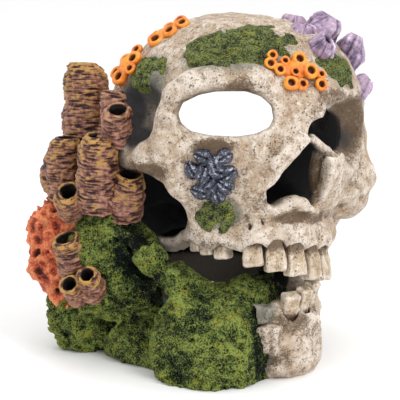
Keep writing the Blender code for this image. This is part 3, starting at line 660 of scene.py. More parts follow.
def mussel_paint():
    p = Paint("mussel", 0.20, 0.6)
    rub = p.noise(1.3, 4, 0.7, 0.8)
    stops = ((0.40, (0.006, 0.007, 0.014)), (0.54, (0.040, 0.046, 0.078)), (0.68, (0.22, 0.24, 0.32)))
    colour = p.ramp(rub, *stops)
    # painted highlight on the shells' flanks, from the height attribute, mixed with rubbed wear
    wear_and_sheen = p.plus(p.attribute("height"), p.swing(rub, 3.0))
    colour = p.coat(colour, (0.50, 0.52, 0.58), p.span(wear_and_sheen, 0.55, 1.15), 0.8)
    # painted shade: near black in the creases between the shells
    colour = p.mix(p.span(p.attribute("cavity"), 0.1, 0.5), colour, (0.003, 0.004, 0.007))
    return p.finish(colour, rub, 0.12, 0.6)


def moulded_paint(name, low, high, roughness, grain, depth):
    """Plain moulded or sintered stuff, with a fine grain."""
    p = Paint(name, roughness)
    speck = p.noise(grain, 4, 0.65)
    p.colour(p.ramp(speck, (0.3, low), (0.7, high)))
    p.roughness(speck, roughness - 0.08, roughness + 0.1)
    p.bump(speck, depth, 0.8)
    return p.material


BONE = bone_paint("bone_resin", (0.68, 0.59, 0.50), (0.47, 0.365, 0.27), (0.05, 0.028, 0.016), 0.55)
IVORY = bone_paint("tooth_resin", (0.70, 0.60, 0.47), (0.48, 0.36, 0.23), (0.06, 0.033, 0.016), 0.42, 0.9)
MOSS = moss_paint("moss", (0.56, 0.68, 0.15), (0.150, 0.215, 0.055), (0.008, 0.015, 0.010), 0.65)
FINE_MOSS = moss_paint("fine_moss", (0.48, 0.55, 0.17), (0.185, 0.235, 0.080), (0.028, 0.038, 0.028), 0.6)
TUBE = tube_paint("tube_sponge", 1.0)
DARK_TUBE = tube_paint("tube_sponge_dark", 0.25)
CORAL = coral_paint()
POLYP = polyp_paint()
BARNACLE = barnacle_paint()
MUSSEL = mussel_paint()


# ---------------------------------------------------------------- skull


DOME_CENTRE = (3, -2, 88)
DOME_RADII = (50.5, 51, 46.5)
WALL = 6.0
LEAST_WALL = 3.5
SKULL_CELL = 0.75  # spacing of the grid that the skull is worked out on

BRACES = [  # the brows, the rims of the orbits, the bridge and the sides of the nose
    *chain(
        ((-5, -37, 107), 7), ((-18, -37, 112.5), 6), ((-31, -32.5, 113.5), 5.6), ((-37, -28, 111.6), 5.2),
        ((-41.4, -23, 108.2), 4.4), ((-43.2, -20.4, 100.6), 3.7), ((-44, -19, 93), 4.4),
    ),
    *chain(((-44, -20, 90), 5.5), ((-28, -30, 87), 4.5), ((-9, -36, 90), 5)),
    *chain(((5, -36, 106), 7), ((18, -35, 108), 6.5), ((33, -31, 105), 6), ((44.5, -23, 97), 5.5)),
    *chain(((44.5, -23, 97), 5.5), ((47, -25, 84), 4), ((45, -29, 69), 6.5)),
    *chain(((45, -30, 69), 6), ((30, -34, 67), 5)),
    *chain(((-2, -34, 108), 8.5), ((-2.5, -38, 99), 4.6), ((-1, -42, 93), 3.6)),
    *chain(((-4, -40, 93), 3.5), ((-12, -38, 82), 3.5), ((-19, -35, 68), 4.6)),
    *chain(((17, -40, 66), 5), ((16, -38, 74), 3)),
]
CHEEKS = [
    blob((-32, -23, 78), (14, 8.5, 12)),
    *chain(((-45, -20, 87), 5.2), ((-46.5, -12, 84.5), 4.6), ((-43.5, -3, 83), 4.4)),
    blob((-27, -22, 66), (10, 9, 15)),
    blob((39, -28, 62), (10, 9, 10)),
    blob((47, -12, 66), (5, 20, 13)),
    blob((42, -4, 54), (8, 18, 14)),
    blob((24, -25, 60), (12, 9, 13)),
]
UPPER_JAW = [
    blob((0, -30, 62), (23, 13, 15)),
    *chain(
        ((-27, -14, 57), 6), ((-24, -26, 56), 6.5), ((-15, -36, 55), 6.5), ((0, -41, 53), 6.5),
        ((12, -39, 51), 6.5), ((20, -33, 50), 6.5), ((26, -18, 50), 6),
    ),
]  # fmt: skip
NOSE = (
    (-2.4, 92), (-5.5, 88), (-9.5, 84.5), (-13, 80), (-14.5, 76), (-16.8, 73), (-15.5, 68.5), (-12.5, 65.8),
    (-10, 65.6), (-7, 68.5), (-3.5, 69.5), (0.5, 68), (4, 64.5), (7.3, 63.2), (9.2, 66), (9.5, 73),
    (8.5, 81), (3, 89),
)  # fmt: skip
NOSE_LIP = chain(
    ((-17.8, -36.5, 74), 1.5), ((-17, -38, 69.5), 1.9), ((-13.5, -40.5, 64.8), 2.0),
    ((-10, -42.5, 63.8), 1.9), ((-6.6, -44.4, 66.6), 1.8), ((-3.5, -45.4, 67.6), 1.8),
    ((0.4, -45.4, 66.2), 1.9), ((4, -44.8, 62.6), 2.0), ((7.4, -43.8, 61.2), 1.9),
    ((10.6, -42.4, 64.4), 1.7), ((11.2, -41.2, 70), 1.5), ((11, -41, 77), 1.4),
)  # fmt: skip
NASAL_SLAB = [  # a flat band of bone with a broken end, proud of the bone beside it
    slab((-10.5, -50.2, 88.4), (16.5, 4.6, 6.0), (0, -42, -16), 1.0),
    slab((-15.6, -48.4, 83.0), (4.0, 4.0, 5.0), (10, -60, -16), 0.7),
]
LEFT_RIDGE = chain(
    ((2.7, -47, 90.9), 1.8), ((13.2, -44, 84.4), 1.9), ((24.4, -41, 77.2), 2.2), ((40, -36, 65.6), 3.2)
)
LEFT_PLATE = [
    *chain(((11, -42, 83), 2.2), ((19, -40, 75), 3.4), ((22, -37, 68), 4), ((34, -35, 66), 4.5)),
    blob((16, -40, 75), (7, 4, 9.5)),
]
# the right orbit's outline, in millimetres across and up, seen along its own tunnel
RIGHT_ORBIT = (
    (-17.4, 0), (-15.8, 3.6), (-10, 6.2), (-4.2, 7.2), (6.6, 7.2), (12, 5.4), (15.4, 2.2), (16.0, -2),
    (14.6, -4.8), (10, -6.9), (3.4, -7.9), (-6.1, -7.5), (-13, -6.0), (-16.4, -3.2),
)  # fmt: skip
RIGHT_ORBIT_MIDDLE = (-20.1, -25.5, 99.3)
TUNNEL_AXIS = (-0.602, -0.771, 0.208)  # out of the right orbit, in line with the window at the back
LEFT_ORBIT = [blob((14, -36, 92.5), (8, 26, 8), (0, 0, -38)), blob((21, -34, 88), (8, 24, 9), (0, 0, -38))]
BOWLS = [blob((30, -45, 90), (18.5, 14, 14), (0, 22, 10)), blob((14, -47, 95), (9, 12, 8), (0, 10, 0))]
TEMPLES = [
    blob((-52, -7.0, 101), (15, 11.0, 13.5), (0, 0, 8)),
    blob((-52, -1, 105), (13, 10, 10)),
    blob((58, -4, 94), (9, 13, 15)),
]
SIDE_WINDOW = blob((-48, -3, 59), (21, 23, 19))
REAR_WINDOW = blob((26, 34, 84), (25, 30, 15.5), (0, 0, -38))
CRACKS = [
    *chain(((-21, -37.5, 64), 0.5), ((-19.6, -39, 59), 0.7), ((-20.4, -39, 54), 0.8)),
    *chain(((-17, -39.6, 66), 0.35), ((-15.4, -41, 60), 0.5), ((-15.8, -41.5, 56), 0.5)),
    *chain(((-28, -34, 68), 0.3), ((-24, -37, 62), 0.5)),
    *chain(((17.5, -40, 58), 0.5), ((18.5, -39, 64), 0.9), ((19, -38.6, 68), 0.4)),
]
SKULL_FOOT = 42.0  # height of the skull's open underside
MOUTH_ROOF = 51.0

# (x, y) on the arch, width and turn; the row's left end hangs lower
UPPER_ROW = (
    (-26.0, -16.5, 5.0, 82), (-25.0, -22.0, 5.0, 76), (-22.8, -27.4, 5.5, 66),
    (-17.0, -38.0, 7.4, 38), (-11.0, -43.4, 7.4, 28), (-3.9, -46.6, 7.0, 10),
    (4.0, -46.8, 6.6, -12), (11.0, -44.4, 6.4, -28), (17.0, -39.6, 6.4, -48), (20.4, -33.0, 6.0, -66),
)  # fmt: skip
LOWER_ROW = ((-5.4, -46.6, 6.4, 14), (1.2, -47.2, 5.0, 0), (6.4, -45.6, 4.4, -22), (10.2, -41.8, 4.4, -50))


# (tip, root, width, turn)
UPPER_TEETH = [
    (np.array((x, y, 38.2 - 0.3 * x)), np.array((x * 0.96, y + 2.0, 52.5 - 0.15 * x)), width, turn)
    for x, y, width, turn in UPPER_ROW
]
LOWER_TEETH = [
    (np.array((x, y, 33.6 + 0.22 * x)), np.array((x * 0.9, y + 3.0, 20.5)), width, turn)
    for x, y, width, turn in LOWER_ROW
]


def skull_outside(grid):
    """The skull as one solid, with its orbits' bowls and temples but not its holes."""
    d = add(grid, grid.empty(), [blob(DOME_CENTRE, DOME_RADII)], 4.0)
    add(grid, d, [blob((18, -16, 104), (28, 26, 25)), blob((-12, -16, 101), (26, 21, 21))], 6.0)
    add(grid, d, [blob((2, 12, 62), (43, 38, 27))], 5.0)
    carve(grid, d, TEMPLES, 3.0)
    add(grid, d, CHEEKS, 4.0)
    add(grid, d, BRACES, 3.5)
    add(grid, d, UPPER_JAW, 4.0)
    for tip, root, width, _ in UPPER_TEETH:  # the bone swells over each root
        top = root + (root - tip) * 0.55 + (0.0, 1.2, 0.0)
        add(grid, d, chain((root + (0, -2.5, -6.4), width * 0.47), (top, width * 0.30)), 1.5)
    carve(grid, d, BOWLS, 2.5)
    return d


STAINS_AND_SHADE = (  # (middle, radii, strength) of brown wash on the bone, and of painted shade under the right brow and on the left orbit's inner wall
    ((-30, -34, 90), (13, 8, 3.6), 1.0),
    ((-36, -30, 104), (14, 12, 5), 0.35),
    ((-14, -36, 106), (11, 6, 4.5), 0.6),
    ((-9, -39, 98), (6, 7, 9), 0.5),
    ((-12, -42, 84), (6, 6, 5), 0.65),
    ((-24, -36, 80), (6, 8, 10), 0.55),
    ((-17, -40, 72), (6, 6, 8), 0.55),
    ((-4, -46, 61.5), (12, 6, 2.6), 0.9),
    ((9, -45, 59.5), (8, 6, 2.4), 0.8),
    ((3, -47, 98), (6, 7, 8), 0.45),
    ((12, -46, 105), (12, 8, 4), 0.65),
    # painted shade under the right brow
    ((-20, -38, 112), (13, 6, 4.5), 0.75),
    # painted shade on the left orbit's inner wall
    ((34, -34, 92), (13, 14, 15), 0.85),
    ((26, -38, 72), (10, 8, 6), 0.4),
    ((-46, -12, 80), (9, 13, 4.5), 0.85),
    ((-40, -20, 84), (8, 8, 4), 0.6),
    ((44, -8, 60), (9, 16, 10), 0.7),
    ((2, -44, 112), (9, 6, 4), 0.6),
    ((-27, -24, 52), (6, 10, 5), 0.5),
)
SHADE_SPOTS = (  # (middle, radii) of painted shade, laid in black: the temple hollow and the left orbit's depth
    ((-46, -5, 102), (11, 12, 14)),
    ((-45, -3, 91), (8, 10, 6.5)),
    ((-44, 4, 99), (10, 10, 15)),
    ((22, -27, 90), (12, 12, 9)),
    ((34, -24, 84), (10, 10, 9)),
)
NOSE_SIDE = (((9.5, -38, 77), (4.5, 9, 13)),)
GREENS = (  # (middle, radii) of the grey-green dust round the moss
    ((-16, -26, 121), (27, 19, 12)),
    ((21, -38, 114), (13, 10, 10)),
    ((-38, -1, 111), (11, 14, 12)),
    ((-29, -33, 64.5), (11, 9, 8)),
    ((-50, -8, 74), (10, 16, 6)),
)


def dusted(points, spots):
    """0 to 1: how far the points lie inside any of the soft-edged spots."""
    amount = np.zeros(len(points))
    for middle, radii, *strength in spots:
        r = np.sqrt((((points - middle) / radii) ** 2).sum(1))
        amount = np.maximum(amount, step(-r, -1.25, -0.55) * (strength[0] if strength else 1.0))
    return amount


def make_skull():
    """The shell with its openings, painted black inside."""
    grid = Grid((-60, -56, 39), (60, 55, 139), SKULL_CELL)
    outside = skull_outside(grid)
    x, y, z = grid.coordinates()
    outside += 0.28 * grid.noise(5.0, 1) + 0.13 * grid.noise(1.9, 2)
    d = outside.copy()
    hollow = add(grid, grid.empty(), [blob(DOME_CENTRE, [r - WALL for r in DOME_RADII])], 3.0)
    add(grid, hollow, [blob((1, 10, 56), (37, 33, 30)), blob((0, -8, 60), (21, 24, 25))], 5.0)
    hollow = np.maximum(hollow, outside + LEAST_WALL)
    d = cut(d, hollow, 2.0)
    carve_outline(grid, d, RIGHT_ORBIT, RIGHT_ORBIT_MIDDLE, TUNNEL_AXIS, -22, 40, flare=0.06, blend=2.6)
    carve(grid, d, LEFT_ORBIT, 2.0)
    carve(grid, d, [SIDE_WINDOW, REAR_WINDOW], 2.5)
    add(grid, d, LEFT_PLATE, 3.0)
    nose = outline_distance(NOSE, grid.axes[0][:, None], grid.axes[2][None, :])[:, None, :]
    nose = np.maximum(nose, y + 20.0).astype(np.float32)
    d = cut(d, nose, 1.0)
    add(grid, d, NOSE_LIP, 1.6)
    add(grid, d, LEFT_RIDGE + NASAL_SLAB, 1.2)
    mouth = np.maximum(np.maximum(np.abs(x) - 24.0, np.abs(y + 5.0) - 25.0), z - MOUTH_ROOF)
    d = cut(d, mouth.astype(np.float32), 1.5)
    sockets = grid.empty()
    for tip, root, width, turn in UPPER_TEETH:  # a socket that hoods each tooth
        gum = tip + (root - tip) * 0.48 + (0, -1.3, 0)
        add(grid, sockets, [blob(gum, (width * 0.57, 5.4, 6.2), (0, 0, -turn))], 0.3)
    d = cut(d, sockets, 0.6)
    carve(grid, d, CRACKS, 0.5)
    foot = z - SKULL_FOOT + 0.22 * np.clip(x + 6.0, 0.0, 26.0) * (y < -28)
    d = np.maximum(d, -foot).astype(np.float32)
    cavity = -blur(d, 2) / 1.3
    broad = -blur(outside, 7) / 3.6

    def paint(points):
        behind = grid.sample(hollow, points)
        deep = -grid.sample(outside, points)
        black = step(deep, 2.0, 4.0) * step(-behind, -1.4, -0.2)
        # painted shade: black laid in the dark gap round each tooth's socket
        black = np.maximum(black, step(-grid.sample(sockets, points), -0.5, 0.3) * 0.85)
        # painted shade: the temple hollow and the left orbit's depth are painted black
        black = np.maximum(black, dusted(points, SHADE_SPOTS) * 0.97)
        rim = step(-behind, -2.4, -0.8) * step(-points[:, 2], -55.0, -51.0) * step(points[:, 1], -14.0, -8.0)
        black = np.maximum(black, rim)
        within = dusted(points, NOSE_SIDE)  # the nose's far side stays brown
        black *= 1.0 - within
        narrow = grid.sample(cavity, points)
        wide = grid.sample(broad, points)
        # painted shade: brown deepens on surfaces sunk in recesses and in broad hollows
        stain_and_shade = np.maximum(0.8 * step(deep, 1.5, 7.0), 0.55 * step(wide, 0.3, 0.9))
        stain_and_shade = np.maximum(stain_and_shade, np.maximum(dusted(points, STAINS_AND_SHADE), 0.8 * within))
        return {"cavity": narrow, "stain_and_shade": stain_and_shade, "black": black, "green": dusted(points, GREENS)}

    place(skin("skull_shell", grid, d, BONE, paint), "upper_skull")


# ---------------------------------------------------------------- jaw and base


JAW = [
    blob((-2, -39, 13), (15, 12.5, 15)),
    blob((-3, -40.5, 6), (15, 11, 9)),
    *chain(((-7, -41, 20), 6.2), ((4, -41, 22), 6), ((10, -36, 24), 5)),
    slab((-13, -40, 24.5), (12, 9, 6.4), (0, 8, 24), 1.2),
    *chain(((3, -38, 16), 8), ((16, -27, 19), 8), ((29, -9, 24), 7.5), ((34, 4, 36), 6.5)),
]
JAW_CRACKS = [  # the break between the chin's corner, its shelf and the rest
    *chain(((-20, -46, 25), 1.0), ((-13, -50, 24.2), 1.1), ((-7.5, -52, 24.5), 1.0)),
    *chain(((-7.5, -52, 26), 1.0), ((-6, -53, 20.5), 1.5), ((-9, -53, 16.5), 1.2), ((-13, -52, 11), 1.3)),
    *chain(((-13, -52, 11), 1.3), ((-18, -49, 8.5), 1.6)),
]
ROCK = [
    blob((-25, -24, 9.5), (24.5, 23, 24)),
    blob((-14, -30, 14), (15, 13, 19)),
    blob((-7, -29, 27), (13, 9, 10)),
    *chain(((-46, 2, 52), 4.6), ((-42, -9, 45), 4.6), ((-36, -16, 36), 5.4), ((-30, -20, 27), 7)),
    blob((-34, 11, 33), (13, 13, 25)),
    blob((-32, 27, 12), (16, 11, 16)),
    blob((-38, 7, 5), (12, 15, 10)),
    blob((-59, 33.5, 15), (3.4, 4, 5)),
    blob((-44, 33, 16), (17, 13, 21)),
    blob((-46, 20, 38), (15, 15, 22)),
    *chain(((-43, 12, 32), 13), ((-42, 15, 58), 11)),
    blob((-42, 32, 48), (14, 14, 22)),
    *chain(((-36, 35, 18), 15), ((-10, 39, 15), 14), ((18, 37, 15), 13), ((31, 20, 15), 12)),
    *chain(((-36, 35, 38), 13), ((-10, 37, 35), 12), ((16, 35, 35), 12), ((30, 18, 33), 11)),
    *chain(((31, 20, 12), 11), ((31, 3, 12), 9), ((20, -17, 10), 9)),
]
CHEEK_CUT = chain(((-39.4, -12.9, 70.4), 14), ((-24.4, -29.0, 50.0), 14))  # bares the rim under the cheek
BASE_HOLLOW = [blob((-3, 5, 34), (30, 33, 38)), blob((-5, 8, 5), (27, 29, 24))]
FLOOR_ARCH = blob((26, 42, 4), (17, 26, 18), (0, 0, -38))
INLET = (-12.0, 48.3, 13.0)  # where the grommet seats in the rear wall
INLET_BORE, INLET_RECESS = 5.0, 8.5  # radii of the hole through the wall and of the recess round it
INLET_DEPTH = 26.0
TUFT_REACH = 1.5  # how far a tuft may stand out
SEAT_GAP = 1.2  # between the base and the skull that stands in it
BASE_CELL = 0.56


def moss_relief(grid, seed):
    """Curly tufts, from -1 in the gaps to 1 on the tips."""
    tufts = grid.noise((1.3, 1.3, 1.0), seed)
    curls = 1.0 - 1.25 * np.abs(grid.noise((1.7, 1.7, 1.3), seed + 1))
    return np.clip(0.55 * tufts + 0.6 * curls - 0.1, -1.3, 1.3)


JAW_STAINS = (
    ((-8, -48, 22), (11, 8, 5), 0.7),
    ((-13, -48, 9), (7, 6, 3.5), 0.6),
    ((2, -50, 18), (9, 6, 4), 0.35),
    ((6, -44, 24), (8, 6, 3), 0.6),
)
JAW_GREENS = (((-19, -42, 12), (7, 8, 16)), ((-16, -42, 26), (7, 6, 5)))


def make_jaw():
    grid = Grid((-19, -56, -1), (44, 12, 46), 0.6)
    z = grid.coordinates()[2]
    d = add(grid, grid.empty(), JAW, 4.0)
    for _, root, width, _ in LOWER_TEETH:
        foot = root + (0, 1.0, -9.0)
        add(grid, d, chain((root + (0, -1.6, -1.0), width * 0.42), (foot, width * 0.25)), 2.0)
    d += 0.35 * grid.noise(5.0, 11) + 0.25 * grid.noise(1.9, 12)
    outside = d.copy()
    for tip, root, width, turn in LOWER_TEETH:
        gum = tip + (root - tip) * 0.72
        carve(grid, d, [blob(gum, (width * 0.56, 3.6, 5.0), (0, 0, -turn))], 0.8)
    carve(grid, d, JAW_CRACKS, 0.8)
    hollow = add(grid, grid.empty(), BASE_HOLLOW, 3.0)
    d = cut(d, hollow, 1.5)
    d = np.maximum(d, -z)
    cavity = -blur(d, 3) / 1.5

    def paint(points):
        deep = -grid.sample(outside, points)
        behind = grid.sample(hollow, points)
        # painted shade: sockets and cracks, sunk below the outer form, are painted black and brown
        black = np.maximum(step(-behind, -0.8, 0.2), 0.9 * step(deep, 0.8, 2.0))
        stain_and_shade = np.maximum(step(deep, 0.3, 1.6), dusted(points, JAW_STAINS))
        green = dusted(points, JAW_GREENS)
        return {"cavity": grid.sample(cavity, points), "stain_and_shade": stain_and_shade, "black": black, "green": green}

    place(skin("jaw_bone", grid, d, BONE, paint), "lower_jaw")
    block = Grid((-23, -53, 5), (-6, -35, 27), 0.5)
    forms = [slab((-13.6, -44.2, 16.2), (11.0, 9.0, 11.6), (0, -6, 28), 1.6)]
    d = add(block, block.empty(), forms, 1.5)
    d += 0.35 * block.noise(3.2, 13) + 0.22 * block.noise(1.5, 14)
    edge = -blur(d, 3) / 1.3
    place(
        skin(
            "chin_corner", block, d, BONE,
            lambda points: {
                "cavity": block.sample(edge, points), "stain_and_shade": 0.3 + 0.3 * step(-points[:, 2], -14.0, -10.0),
                "black": np.zeros(len(points)), "green": np.zeros(len(points)),
            },
        ),
        "chin_block",
    )  # fmt: skip


MOSS_SHADES = (  # (middle, radii) of painted shade: moss darkened nearly to black where it lies in shadow
    ((-38, -6, 34), (9, 9, 14)),
    ((-27, -13, 33), (9, 7, 7)),
    ((-2, -30, 33), (12, 9, 8)),
    ((-19, -44, 12), (5, 6, 12)),
    ((-46, 0, 46), (7, 9, 12)),
)


def make_base():
    grid = Grid((-68, -52, -1), (46, 58, 74), BASE_CELL)
    x, y, z = grid.coordinates()
    d = add(grid, grid.empty(), ROCK, 5.0)
    opening = add(grid, grid.empty(), CHEEK_CUT, 1.0)
    clumps = grid.noise(4.5, 21)
    relief = moss_relief(grid, 22)
    bare = step(-opening, -2.6, -1.0)
    form = d.copy()
    d += (0.8 * clumps - 0.7 * relief) * (1.0 - 0.85 * bare)
    d = np.maximum(d, form - TUFT_REACH)
    outside = d.copy()
    d = cut(d, opening, 1.0)
    hollow = add(grid, grid.empty(), BASE_HOLLOW, 3.0)
    d = cut(d, hollow, 1.5)
    carve(grid, d, [FLOOR_ARCH], 2.0)
    skull = skull_outside(grid)
    d = np.maximum(d, np.where(z > 44, -SEAT_GAP - skull, -FAR))
    near_bore = np.hypot(x - INLET[0], z - INLET[2])
    bore = near_bore - np.where(y > INLET[1] - 1.0, INLET_RECESS, INLET_BORE)
    bore = np.where(y < INLET[1] - INLET_DEPTH, FAR, bore)
    d = np.maximum(d, -bore.astype(np.float32))
    d = np.maximum(d, -z)
    broad = -blur(outside, 7) / 3.0

    def paint(points):
        tuft = grid.sample(relief, points)
        behind = grid.sample(hollow, points)
        # painted shade: the moss is darkened in broad hollows and, below, in the MOSS_SHADES spots
        height = 0.50 + 0.17 * tuft - 0.26 * np.clip(grid.sample(broad, points), -0.6, 1.0)
        height -= 0.10 * grid.sample(clumps, points)
        inner = step(-behind, -1.6, -0.3)
        resin = step(-points[:, 2], -31.0, -28.0) * inner * step(points[:, 1], 0.0, 6.0)
        rim = step(-grid.sample(opening, points), -1.5, -0.6) * (1.0 - inner)
        shade = dusted(points, MOSS_SHADES)
        black = inner * (1.0 - resin)
        return {"height": height - 0.5 * shade, "black": black, "resin": np.maximum(resin, 0.7 * rim)}

    place(skin("mossy_rock", grid, d, MOSS, paint), "moss_base")


# ---------------------------------------------------------------- teeth


TOOTH_EDGE = 1.1  # radius of a crown's rounded edges


def make_tooth(name, node, tooth, depth, seed):
    """A square-cornered crown, bowed and waisted."""
    tip, root, width, turn = tooth
    up = (root - tip) / np.linalg.norm(root - tip)
    across = np.array((math.cos(math.radians(turn)), -math.sin(math.radians(turn)), 0.0))
    inward = np.cross(up, across)
    inward /= np.linalg.norm(inward)
    across = np.cross(inward, up)
    half = np.linalg.norm(root - tip) / 2
    middle = (tip + root) / 2
    grid = Grid(middle - half - 2.5, middle + half + 2.5, 0.42)
    u, v, w = (along(grid.coordinates(), middle, axis) for axis in (across, inward, up))
    waist = 1.0 - 0.10 * w / half - 0.16 * np.clip(w / half - 0.1, 0.0, 1.0)
    bow = v + 0.35 - 0.035 * (w + 2.0) ** 2 / half  # the crown bows outward
    sides = (u, width / 2 * waist), (bow, depth / 2 * waist), (w, half)
    d = rounded_block([np.abs(offset) - (size - TOOTH_EDGE) for offset, size in sides], TOOTH_EDGE)
    d += 0.16 * grid.noise(3.0, seed) + 0.06 * grid.noise(1.2, seed + 1)
    # concavity: pale on worn edges, painted shade in the hollows
    wear_and_shade = -blur(d, 3) / 1.6

    def paint(points):
        rel = points - middle
        high = rel @ up / half
        # brown stain and painted shade toward the root, where the socket hoods the crown
        stain_and_shade = 0.9 * step(high, -0.1, 0.6)
        zeros = np.zeros(len(points))
        return {"cavity": grid.sample(wear_and_shade, points), "stain_and_shade": stain_and_shade, "black": zeros, "green": zeros}

    place(skin(name, grid, d, IVORY, paint), node)


def make_teeth():
    for number, tooth in enumerate(UPPER_TEETH, 1):
        make_tooth(f"crown_{number:02}", f"upper_tooth_{number:02}", tooth, 5.6, 100 + 2 * number)
    for number, tooth in enumerate(LOWER_TEETH, 1):
        make_tooth(f"low_crown_{number}", f"lower_tooth_{number}", tooth, 5.0, 140 + 2 * number)


# ---------------------------------------------------------------- sponges and barnacles


def circle(around, radius=1.0, z=0.0):
    """Points of a level circle, evenly spaced."""
    angles = np.linspace(0.0, 2 * math.pi, around, endpoint=False)
    return np.stack([np.cos(angles) * radius, np.sin(angles) * radius, np.full(around, z)], axis=1)


def turned_frame(base, top):
    """The axis from base to top, two directions square to it, and its length."""
    axis = top - base
    height = np.linalg.norm(axis)
    axis /= height
    side = np.cross(axis, (0.0, 1.0, 0.3))
    side /= np.linalg.norm(side)
    return axis, side, np.cross(axis, side), height


def swept_skin(profile, around, centre_line, sides):
    """Points and quads of rings about a line. profile gives each ring's (radius by angle, height)."""
    spokes = circle(around) @ np.array([*sides, np.zeros(3)])
    rings = [centre_line(h) + r[:, None] * spokes for r, h in profile]
    points = np.concatenate(rings)
    faces = []
    column = np.arange(around)
    following = (column + 1) % around
    for i in range(len(rings) - 1):
        low, high = i * around, (i + 1) * around
        faces.append(np.stack([low + column, low + following, high + following, high + column], axis=1))
    return points, np.concatenate(faces)


def make_tube(name, node, base, top, radius, material, seed):
    """A tube that leans and swells a little, with a rolled lip and a dark bore that ends half way down."""
    base, top = np.array(base, float), np.array(top, float)
    axis, side, other, height = turned_frame(base, top)
    around = 96
    steps = int(height / 0.36)
    lean = 0.05 * height * np.array((math.sin(seed), math.cos(seed * 1.7), 0.0))

    def line(h):
        t = h / height
        return base + axis * h + lean * (4 * t * (1 - t))

    shoulder, mouth = (0.62, 0.42) if name == "tube_01" else (0.80, 0.56)
    lip = 0.5 * (shoulder - mouth) * radius
    stations = [("wall", h) for h in np.linspace(0.0, height * 0.97, steps)]
    stations += [("lip", angle) for angle in np.linspace(0.0, math.pi, 12)[1:]]
    stations += [("bore", h) for h in np.linspace(height * 0.92, height * 0.45, 16)]
    profile, heights, alongs, bores = [], [], [], []
    for part, h in stations:
        if part == "wall":
            t = h / height
            rounding = math.sqrt(max(1.0 - ((t - 0.80) / 0.17) ** 2, 0.0)) if t > 0.80 else 1.0
            swell = 0.90 + 0.14 * math.sin(math.pi * min(t * 0.8 + 0.12, 1.0))
            r, z, bore = radius * (shoulder + (swell - shoulder) * rounding), h, 0.0
        elif part == "lip":
            middle = radius * mouth + lip
            r, z = middle + lip * math.cos(h), height * 0.97 + lip * math.sin(h)
            bore = step(h, 1.9, 2.6)
        else:
            r, z, bore = radius * mouth, h, 1.0
        probe = circle(around, radius * 0.30, z + seed * 13.0)
        crest = 1.0 - 1.15 * np.abs(noise_at(probe, (0.75, 0.75, 0.42), seed))
        lump = noise_at(probe, (1.6, 1.6, 3.2), seed + 1)
        fine = noise_at(circle(around, r, z), 0.9, seed + 2)
        amount = 0.38 if part == "wall" else 0.2
        relief = amount * crest + 0.34 * lump + 0.14 * fine
        profile.append((np.full(around, r) + relief * (0.4 if part == "bore" else 1.0), z))
        heights.append(0.5 + 0.34 * crest + 0.12 * fine)
        alongs.append(np.full(around, z / height if part == "wall" else 1.0))
        bores.append(np.full(around, bore))
    profile.append((np.full(around, 0.01), height * 0.45))
    heights.append(np.zeros(around))
    alongs.append(np.ones(around))
    bores.append(np.ones(around))
    points, faces = swept_skin(profile, around, line, (side, other))
    rows = {"height": heights, "along": alongs, "bore": bores}
    paints = {key: np.concatenate(values) for key, values in rows.items()}
    place(mesh_object(name, points, faces, material, paints), node)


TUBES = (
    ((-43.8, 38, 66), (-38.4, 42.6, 114.5), 9.0),
    ((-46.5, 12, 88), (-43.5, 13.5, 106), 5.8),
    ((-47, 7, 88), (-50.5, 1.5, 100.5), 5.6),
    ((-52, 36, 60), (-52.2, 34.9, 86.3), 6.0),
    ((-51.5, 13.5, 60), (-52.8, 9.8, 90.5), 7.2),
    ((-53, 29, 56), (-60.6, 21, 68), 5.5),
    ((-44.5, 8, 58), (-45.5, 1.5, 76), 6.6),
    ((-56, 22, 34), (-63.2, 20, 50), 6.5),
    ((-58, 20, 25), (-67, 11.5, 34.3), 4.2),
    ((-54, 13, 27), (-62.6, 5.5, 38.5), 4.6),
)


def make_tubes():
    for number, (base, top, radius) in enumerate(TUBES, 1):
        paint = DARK_TUBE if number in (2, 3) else TUBE
        make_tube(f"tube_{number:02}", f"tube_sponge_{number:02}", base, top, radius, paint, number)
    grid = Grid((-62, 34, 54), (-41, 54, 82), 0.5)
    d = add(grid, grid.empty(), [blob((-53.5, 44, 70), (4.6, 4.6, 9)), blob((-49, 42, 62), (6, 6, 6))], 3.0)
    ridges = 1.0 - 1.2 * np.abs(grid.noise((4.0, 4.0, 1.3), 31))
    d -= 0.5 * ridges
    place(
        skin("closed_tube", grid, d, TUBE, lambda points: {
            "height": 0.5 + 0.42 * grid.sample(ridges, points),
            "along": 0.6 * np.ones(len(points)), "bore": np.zeros(len(points))}),
        "sponge_bulb",
    )  # fmt: skip


def make_orange_sponge():
    grid = Grid((-72, 18, 14), (-42, 50, 70), 0.55)
    forms = chain(((-52, 38, 60), 6), ((-59, 37, 50), 8), ((-60, 36, 36), 8), ((-56, 31, 24), 6))
    forms += [blob((-57, 30, 42), (7, 7, 12)), blob((-53, 28, 56), (5, 6, 6))]
    d = add(grid, grid.empty(), forms, 3.0)
    knobs = 1.0 - 1.2 * np.abs(grid.noise(2.4, 41))
    crumbs = grid.noise(1.1, 42)
    holes = np.maximum(grid.noise(3.6, 43) - 1.0, 0.0)
    d += -0.8 * knobs - 0.38 * crumbs + 2.2 * holes
    level = 0.50 + 0.28 * knobs + 0.14 * crumbs - 0.7 * holes
    place(
        skin("orange_crust", grid, d, CORAL, lambda points: {"height": grid.sample(level, points)}),
        "orange_sponge",
    )  # fmt: skip


BARNACLES = (
    ((16, -23, 120), (17.5, -27, 131), 4.4),
    ((23, -12, 121), (25, -13, 133), 4.4),
    ((27, -19, 119), (33.5, -24, 133), 6.6),
    ((17.5, -32, 118), (17, -40, 126.5), 4.6),
    ((36, -25, 110), (42.5, -29.5, 125.5), 6.2),
    ((38, -27, 98), (47.5, -31, 108.5), 4.6),
)


